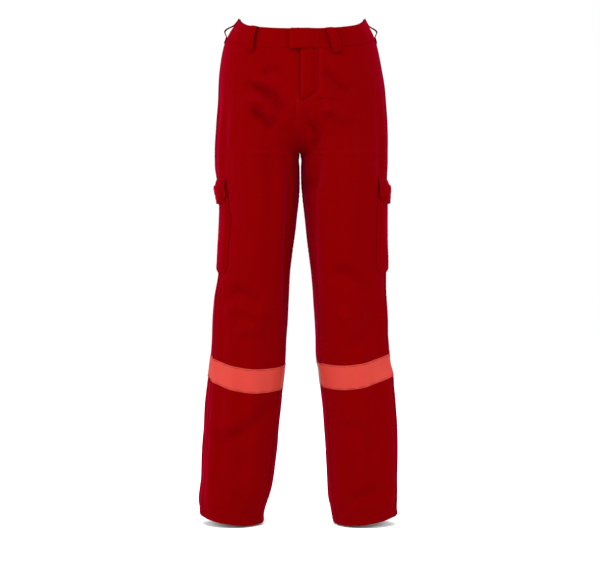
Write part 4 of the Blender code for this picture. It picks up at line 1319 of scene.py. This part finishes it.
def make_belt_loop(k, node, name, u, slant):
    """One strip with a row of stitching along each edge and a tack at each end."""
    base, row, at_side = 0.0013, 0.0026, "side" in node
    t = np.linspace(0.0, 1.0, 40)[:, None]
    across = close_places(LOOP_WIDTH, 0.0014, 6, (row, LOOP_WIDTH - row))[None, :] - LOOP_WIDTH / 2
    at = round_to(t * LOOP_LENGTH, u, across * (1 + LOOP_FLARE * t) + slant * (t - 0.5))
    near = LOOP_WIDTH / 2 - np.abs(across)
    slim = edge_round(near, 0.0014)
    lift = base + loop_arch(t, at_side) + loop_sag(t, k) + LOOP_CLOTH * (1 - slim) / 2
    thick = LOOP_CLOTH * slim - sewn(near, (row,), DOUBLE_PULL)
    wear = bell(near, 0.0015)
    loop = lay_cloth(node + "_cloth", name, at, t * LOOP_LENGTH, lift, thick, TWILL, wear=wear)
    finish_cloth(loop, "waist", (node,))

    line = np.linspace(0.03, 0.97, 40)
    line_lift = base + LOOP_CLOTH + loop_arch(line, at_side) + loop_sag(line, k) - DOUBLE_PULL
    for edge in (-1, 1):
        sideways = edge * (LOOP_WIDTH / 2 - row) * (1 + LOOP_FLARE * line) + slant * (line - 0.5)
        line_u = round_to(line * LOOP_LENGTH, u, sideways)
        stitch_line("belt_loop_stitching", name, line_u, line * LOOP_LENGTH, line_lift)
    for end in (0.03, 0.955):
        centre = float(round_to(end * LOOP_LENGTH, u, slant * (end - 0.5)))
        tack_lift = base + LOOP_CLOTH + float(loop_arch(end, at_side))
        bar_tack("belt_loop_stitching", name, centre, end * LOOP_LENGTH, tack_lift, LOOP_WIDTH * 0.8, 0.0022)
    return loop


# ---------------------------------------------------------------- pockets
def three_sides(width, height, inset, first, count, count_across):
    """Places (s, t) down one side of a piece from first, along its bottom and up its other side."""
    side = np.linspace(first, height - inset, count)
    bottom = np.linspace(inset, width - inset, count_across)[1:-1]
    s = np.concatenate([np.full(count, inset), bottom, np.full(count, width - inset)])
    t = np.concatenate([side, np.full(len(bottom), height - inset), side[::-1]])
    return s, t


def lay_pocket(node, name, u, top, width, height, left, depth, how):
    """A patch pocket: sewn flat on three sides, with a gusset that folds out to its full face."""
    group = node + "_stitching"
    corner, row, second_row, hem_row = 0.012, EDGE_ROW, 0.0080, 0.018
    down = close_places(height, row, 40, (row, height - row, height - second_row))
    across = close_places(width, row, 34, (row, second_row, width - row, width - second_row))
    s, t = spread(across[None, :], down[:, None])
    squeeze = rounding(corner - (height - t), corner)
    near = np.minimum(np.minimum(s, width - s), height - t)
    rise = smooth(near / 0.009) * (1 - 0.20 * bell(near - 0.0075, 0.0016))
    sag = 1 + 0.22 * smooth(near / 0.04) * np.sin(np.pi * t / height) + 0.10 * np.sin(s * 70 + t * 28)
    lift = POCKET_BASE + depth * rise * sag - sewn(near, (row,), DOUBLE_PULL)
    thick = CLOTH * edge_round(np.minimum(near, t), 0.0012)
    at = round_to(top + t, u, left + np.clip(s, squeeze, width - squeeze))
    wear = bell(np.minimum(near, t), 0.003)
    pocket = lay_cloth(node + "_cloth", name, at, top + t, lift, thick, TWILL, wear=wear)
    finish_cloth(pocket, how, (node,))

    face = POCKET_BASE + CLOTH
    path_s, path_t = three_sides(width, height, row, 0.002, 30, 40)
    squeeze = rounding(corner - (height - path_t), corner)
    path_s = np.clip(path_s, squeeze + row, width - squeeze - row)
    stitch_line(group, name, round_to(top + path_t, u, left + path_s), top + path_t, face)
    hem_s = np.linspace(0.012, width - 0.012, 60)
    hem_sag = 1 + 0.22 * np.sin(np.pi * hem_row / height) + 0.10 * np.sin(hem_s * 70 + hem_row * 28)
    hem_u = round_to(top + hem_row, u, left + hem_s)
    stitch_line(group, name, hem_u, top + hem_row, face + depth * hem_sag)
    for edge in (0.005, width - 0.005):
        tack_u = float(round_to(top + 0.003, u, left + edge))
        bar_tack(group, name, tack_u, top + 0.003, face + depth * 0.45, 0.006, 0.003)
    SEWN_ON[group] = (how, name, pocket)


def flap_hang(s, t, width, height, standoff, rise):
    """How far a flap stands off: less by its two ends, and with a ripple along its lower edge."""
    share = 0.42 + 0.58 * smooth(np.minimum(s, width - s) / 0.018)
    ripple = 0.0016 * np.sin(s * 48 + 0.8) * smooth(t / height)
    return standoff * smooth(t / rise) * share + ripple


def flap_across(s, t, width, height):
    """Where s lies across a flap that narrows a little and has cut-off corners."""
    squeeze = 0.9 * np.maximum(FLAP_CORNER - (height - t), 0.0) + 0.05 * t
    return squeeze + (width - 2 * squeeze) * s / width


def lay_flap(stem, node, name, u, top, width, height, left, standoff, rise, how):
    """A pocket flap of double cloth, sewn along its top, with two rows of stitching there."""
    group = stem + "_stitching"
    row, hinge_rows = 0.0030, (EDGE_ROW, 0.0080)
    down = close_places(height, BAND_ROUND, 26, (*hinge_rows, height - row))
    across = close_places(width, BAND_ROUND, 40, (row, width - row))
    s, t = spread(across[None, :], down[:, None])
    near = border_distance(s, t, width, height)
    slim = edge_round(near, BAND_ROUND)
    hang = flap_hang(s, t, width, height, standoff, rise)
    lift = FLAP_BASE + hang + FLAP_CLOTH * (1 - slim) / 2
    from_cut_edge = np.minimum(np.minimum(s, width - s), height - t)
    thick = FLAP_CLOTH * slim - sewn(from_cut_edge, (row,), DOUBLE_PULL) - sewn(t, hinge_rows, DOUBLE_PULL)
    at = round_to(top + t, u, left + flap_across(s, t, width, height))
    wear = bell(near, 0.003)
    flap = lay_cloth(stem + "_cloth", name, at, top + t, lift, thick, TWILL, wear=wear)
    finish_cloth(flap, how, (node,))

    face = FLAP_BASE + FLAP_CLOTH - DOUBLE_PULL
    line = np.linspace(row, width - row, 80)
    for offset in hinge_rows:
        height_here = face + flap_hang(line, offset, width, height, standoff, rise)
        stitch_line(group, name, round_to(top + offset, u, left + line), top + offset, height_here)
    path_s, path_t = three_sides(width, height, row, 0.010, 24, 60)
    shown = flap_across(path_s, path_t, width, height)
    height_here = face + flap_hang(path_s, path_t, width, height, standoff, rise)
    stitch_line(group, name, round_to(top + path_t, u, left + shown), top + path_t, height_here)
    SEWN_ON[group] = (how, name, flap)


def make_pockets(name):
    """Cargo pocket and back pocket of one side, and their flaps."""
    left = -CARGO_AHEAD
    lay_pocket(
        f"{name}_cargo_pocket", name, 0.5, CARGO_TOP + CARGO_MOUTH_DROP, CARGO_WIDTH,
        CARGO_HEIGHT - CARGO_MOUTH_DROP, left, CARGO_DEPTH, name + "_thigh",
    )
    lay_flap(
        f"{name}_cargo_flap", f"{name}_cargo_flap", name, 0.5, CARGO_TOP, CARGO_WIDTH + 2 * FLAP_MARGIN,
        CARGO_FLAP_HEIGHT, left - FLAP_MARGIN, CARGO_STANDOFF, CARGO_MOUTH_DROP * 0.9, "thigh_flap",
    )
    left = -BACK_POCKET_FROM_CENTRE - BACK_POCKET_WIDTH
    lay_pocket(
        f"{name}_back_pocket", name, 1.0, BACK_POCKET_TOP + BACK_MOUTH_DROP, BACK_POCKET_WIDTH,
        BACK_POCKET_HEIGHT - BACK_MOUTH_DROP, left, BACK_POCKET_DEPTH, "hip",
    )
    lay_flap(
        f"{name}_back_flap", f"{name}_back_pocket_flap", name, 1.0, BACK_POCKET_TOP,
        BACK_POCKET_WIDTH + 2 * FLAP_MARGIN, BACK_FLAP_HEIGHT, left - FLAP_MARGIN,
        BACK_POCKET_DEPTH + 0.0018, BACK_MOUTH_DROP * 0.9, "seat_flap",
    )


def make_flap_tapes(name):
    """Hook and loop tape: the loops on the cargo pocket's face, the hooks under its flap."""
    width, height, edge = 0.090, 0.020, 0.001
    across = close_places(width, edge, 20)[None, :]
    down = close_places(height, edge, 6)[:, None]
    slim = edge_round(border_distance(across, down, width, height), edge)
    drop = CARGO_TOP + CARGO_FLAP_HEIGHT * 0.5 + down
    at = round_to(drop, 0.5, (CARGO_WIDTH - 2 * CARGO_AHEAD - width) / 2 + across)
    face = POCKET_BASE + CLOTH + CARGO_DEPTH * 1.05
    under_flap = FLAP_BASE + CARGO_STANDOFF - 0.0014
    for kind, lift, body in (("loop", face, "_thigh"), ("hook", under_flap, "_thigh_flap")):
        node = f"{name}_cargo_{kind}_tape"
        tape = lay_cloth(node + "_cloth", name, at, drop, lift, 0.0012 * slim, HOOKS)
        finish_cloth(tape, name + body, (node,))


def make_pocket_bag(name):
    """The bag of the front pocket, inside the hip."""
    drawn, corner = 0.003, 0.03
    down = close_places(BAG_DEPTH, drawn, 30)[:, None]
    across = close_places(BAG_WIDTH, drawn, 20)[None, :]
    drop = BAND_HEIGHT + 0.001 + down
    cut_in = rounding(corner - (BAG_DEPTH - down), corner)
    at = round_to(drop, 0.5, np.maximum(across, cut_in) - BAG_WIDTH - 0.0005)
    slim = edge_round(border_distance(across, down, BAG_WIDTH, BAG_DEPTH), drawn)
    lift = -BAG_INSET - 0.0034 + 0.0012 * np.sin(down * 60 + across * 30)
    node = f"{name}_front_pocket_bag"
    bag = lay_cloth(node + "_cloth", name, at, drop, lift, 0.0022 * slim, LINING)
    finish_cloth(bag, "waist", (node,))


# ---------------------------------------------------------------- bands and hems
def band_sag(u, sag):
    """How much lower the band lies at u, given it at the outer side, the front and the inner side."""
    outer, front, inner = sag
    turn = 2 * np.pi * u
    ends = (outer + inner) / 2 + (inner - outer) / 2 * np.cos(turn)
    return ends + (front - (outer + inner) / 2) * np.maximum(np.sin(turn), 0.0) ** 2


def seam_ridge(u, drop):
    """How far the felled seams of a leg stand up under a band that crosses them."""
    total = 0.0
    for start, away in ((0.0, 1), (1.0, 1), (0.5, -1)):
        seam_u = round_to(drop, start, away * leg_seams(drop))
        toward_front = (u - seam_u) * LOWER_LEG_GIRTH * away
        up = smooth((toward_front + 0.008) / 0.006)
        total = total + LAYER * up * smooth((SEAM_LAP + 0.003 - toward_front) / 0.003)
    return total


def make_band(name, place, start, end, down):
    """One of the two tapes of a leg's reflective band, sewn on along its four edges."""
    group, sag = f"{name}_shin_stitching", BAND_SAG[name]
    drop = TAPE_TOP + down[:, None]
    by_ends = [0.002, 0.006, 0.994, 0.998]
    share = np.unique(np.concatenate([np.linspace(0, 1, 72), by_ends]))[None, :]
    u = start + (end - start) * share
    level = drop + band_sag(u, sag)
    near_edge = np.minimum(down, TAPE_HEIGHT - down)[:, None]
    near_end = np.minimum(share, 1 - share) * 0.25
    ripple = 0.0005 * np.sin(u * 120 + drop * 60) * bell(near_edge, 0.006)
    lift = 0.0003 + seam_ridge(u, level) + ripple
    slim = edge_round(np.minimum(near_edge, near_end), 0.0009)
    thick = TAPE_CLOTH * slim - sewn(near_edge, (TAPE_ROW,), 0.0002)
    wear = bell(near_edge - TAPE_ROW, 0.0008) * 0.8 + bell(near_end, 0.0010)
    node = f"{name}_{place}_reflective_band"
    band = lay_cloth(node + "_tape", name, u, level, lift, thick, REFLECTIVE, wear=wear)
    finish_cloth(band, name + "_shin", (node,))

    lines = []
    for offset in (TAPE_ROW, TAPE_HEIGHT - TAPE_ROW):
        row = int(np.argmin(np.abs(down - offset)))
        lines.append((np.linspace(start[row, 0], end[row, 0], 120), TAPE_TOP + offset))
    for edge, away in ((start, 0.0022), (end, -0.0022)):
        lines.append((round_to(drop[:, 0], edge[:, 0], away), drop[:, 0]))
    for line, at_drop in lines:
        level = at_drop + band_sag(line, sag)
        stitch_line(group, name, line, level, seam_ridge(line, level) + TAPE_CLOTH + 0.0002)


def make_bands(name):
    """The reflective band round the shin, cut at the seams."""
    lap, gap = 0.0015, 0.0004
    down = close_places(TAPE_HEIGHT, 0.0012, 14, (TAPE_ROW, TAPE_HEIGHT - TAPE_ROW))
    drop = TAPE_TOP + down[:, None]
    seam_in, seam_out = round_to(drop, 0.0, leg_seams(drop)), front_end(drop)
    make_band(name, "front", round_to(drop, seam_in, -lap), round_to(drop, seam_out, lap), down)
    back_start, back_end = round_to(drop, seam_out, lap + gap), round_to(drop, 1.0 + seam_in, -lap - gap)
    make_band(name, "back", back_start, back_end, down)


def make_hem(name):
    """The cloth turned up inside the leg's end, and the stitching that shows outside."""
    u = np.linspace(0, 1, COLUMNS + 1)[None, :-1]
    edge = HEM_HEIGHT + 0.0010
    down = np.concatenate([np.linspace(0, HEM_HEIGHT, 14), [HEM_HEIGHT + 0.0006, edge]])[:, None]
    turn = smooth((down - HEM_HEIGHT + 0.002) / 0.003)
    lift = -2 * CLOTH - 0.0006 + 0.0010 * turn
    thick = CLOTH * edge_round(edge - down, 0.0012) + 0.0006 * turn
    hem = lay_cloth(f"{name}_hem_cloth", name, u, HEM - HEM_HEIGHT + down, lift, thick, TWILL, ring=True)
    finish_cloth(hem, name + "_shin", (f"{name}_hem",))
    line = np.linspace(0, 1, 240)
    level = np.full(240, HEM - HEM_HEIGHT + 0.0015)
    stitch_line(f"{name}_shin_stitching", name, line, level, seam_ridge(line, level) - 0.0001)
    SEWN_ON[f"{name}_shin_stitching"] = (name + "_shin", name, hem)


# ---------------------------------------------------------------- zip and stud
def make_zip():
    """Woven tapes for the zip; its metal parts are the solids themselves, softened at their edges."""
    for side_name in SIDES:
        node = "zip_tape_" + side_name
        low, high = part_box(node)
        grid_x, grid_z = np.meshgrid(np.linspace(low.x, high.x, 8), np.linspace(high.z, low.z, 60))
        ripple = 0.0001 * np.sin(grid_z * 900.0)
        outer = np.stack([grid_x, low.y + ripple, grid_z], -1)
        inner = np.stack([grid_x, high.y + ripple, grid_z], -1)
        verts, faces = closed_grid(outer, inner, 1)
        plan = np.stack([grid_x, grid_z], -1).reshape(-1, 2)
        tape = new_object(node + "_cloth", verts, faces, TAPE, np.concatenate([plan, plan]))
        width, length = high.x - low.x, high.z - low.z
        tape["flat_size"] = [width, length, width * length]
        finish_cloth(tape, "waist", (node,))
    for node in METAL_NODES:
        part = CAD_NODES[node]
        part.data.materials.clear()
        part.data.materials.append(METAL)
        for piece in part.material_slots:
            piece.link = "OBJECT"
            piece.material = METAL
        round_off = part.modifiers.new("softened edges", "BEVEL")
        round_off.width = 0.00018
        round_off.segments = 2
        round_off.limit_method = "ANGLE"


# ---------------------------------------------------------------- the whole object
CAD_NODES = {obj["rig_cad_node"]: obj for obj in bpy.data.objects if "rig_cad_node" in obj}
SHIFTS.update(drape())
for leg_name in SIDES:
    make_leg(leg_name)
make_waistband()
make_tab()
make_fly()
make_shield()
make_belt_loops()
for leg_name in SIDES:
    make_pockets(leg_name)
    make_flap_tapes(leg_name)
    make_pocket_bag(leg_name)
    make_bands(leg_name)
    make_hem(leg_name)
make_zip()

sewing = {}
for title, stitches in build_stitches(THREAD).items():
    how, leg_name, cloth_piece = SEWN_ON[title]
    attach(stitches, how)
    sewing.setdefault(cloth_piece.name, []).append(stitches)
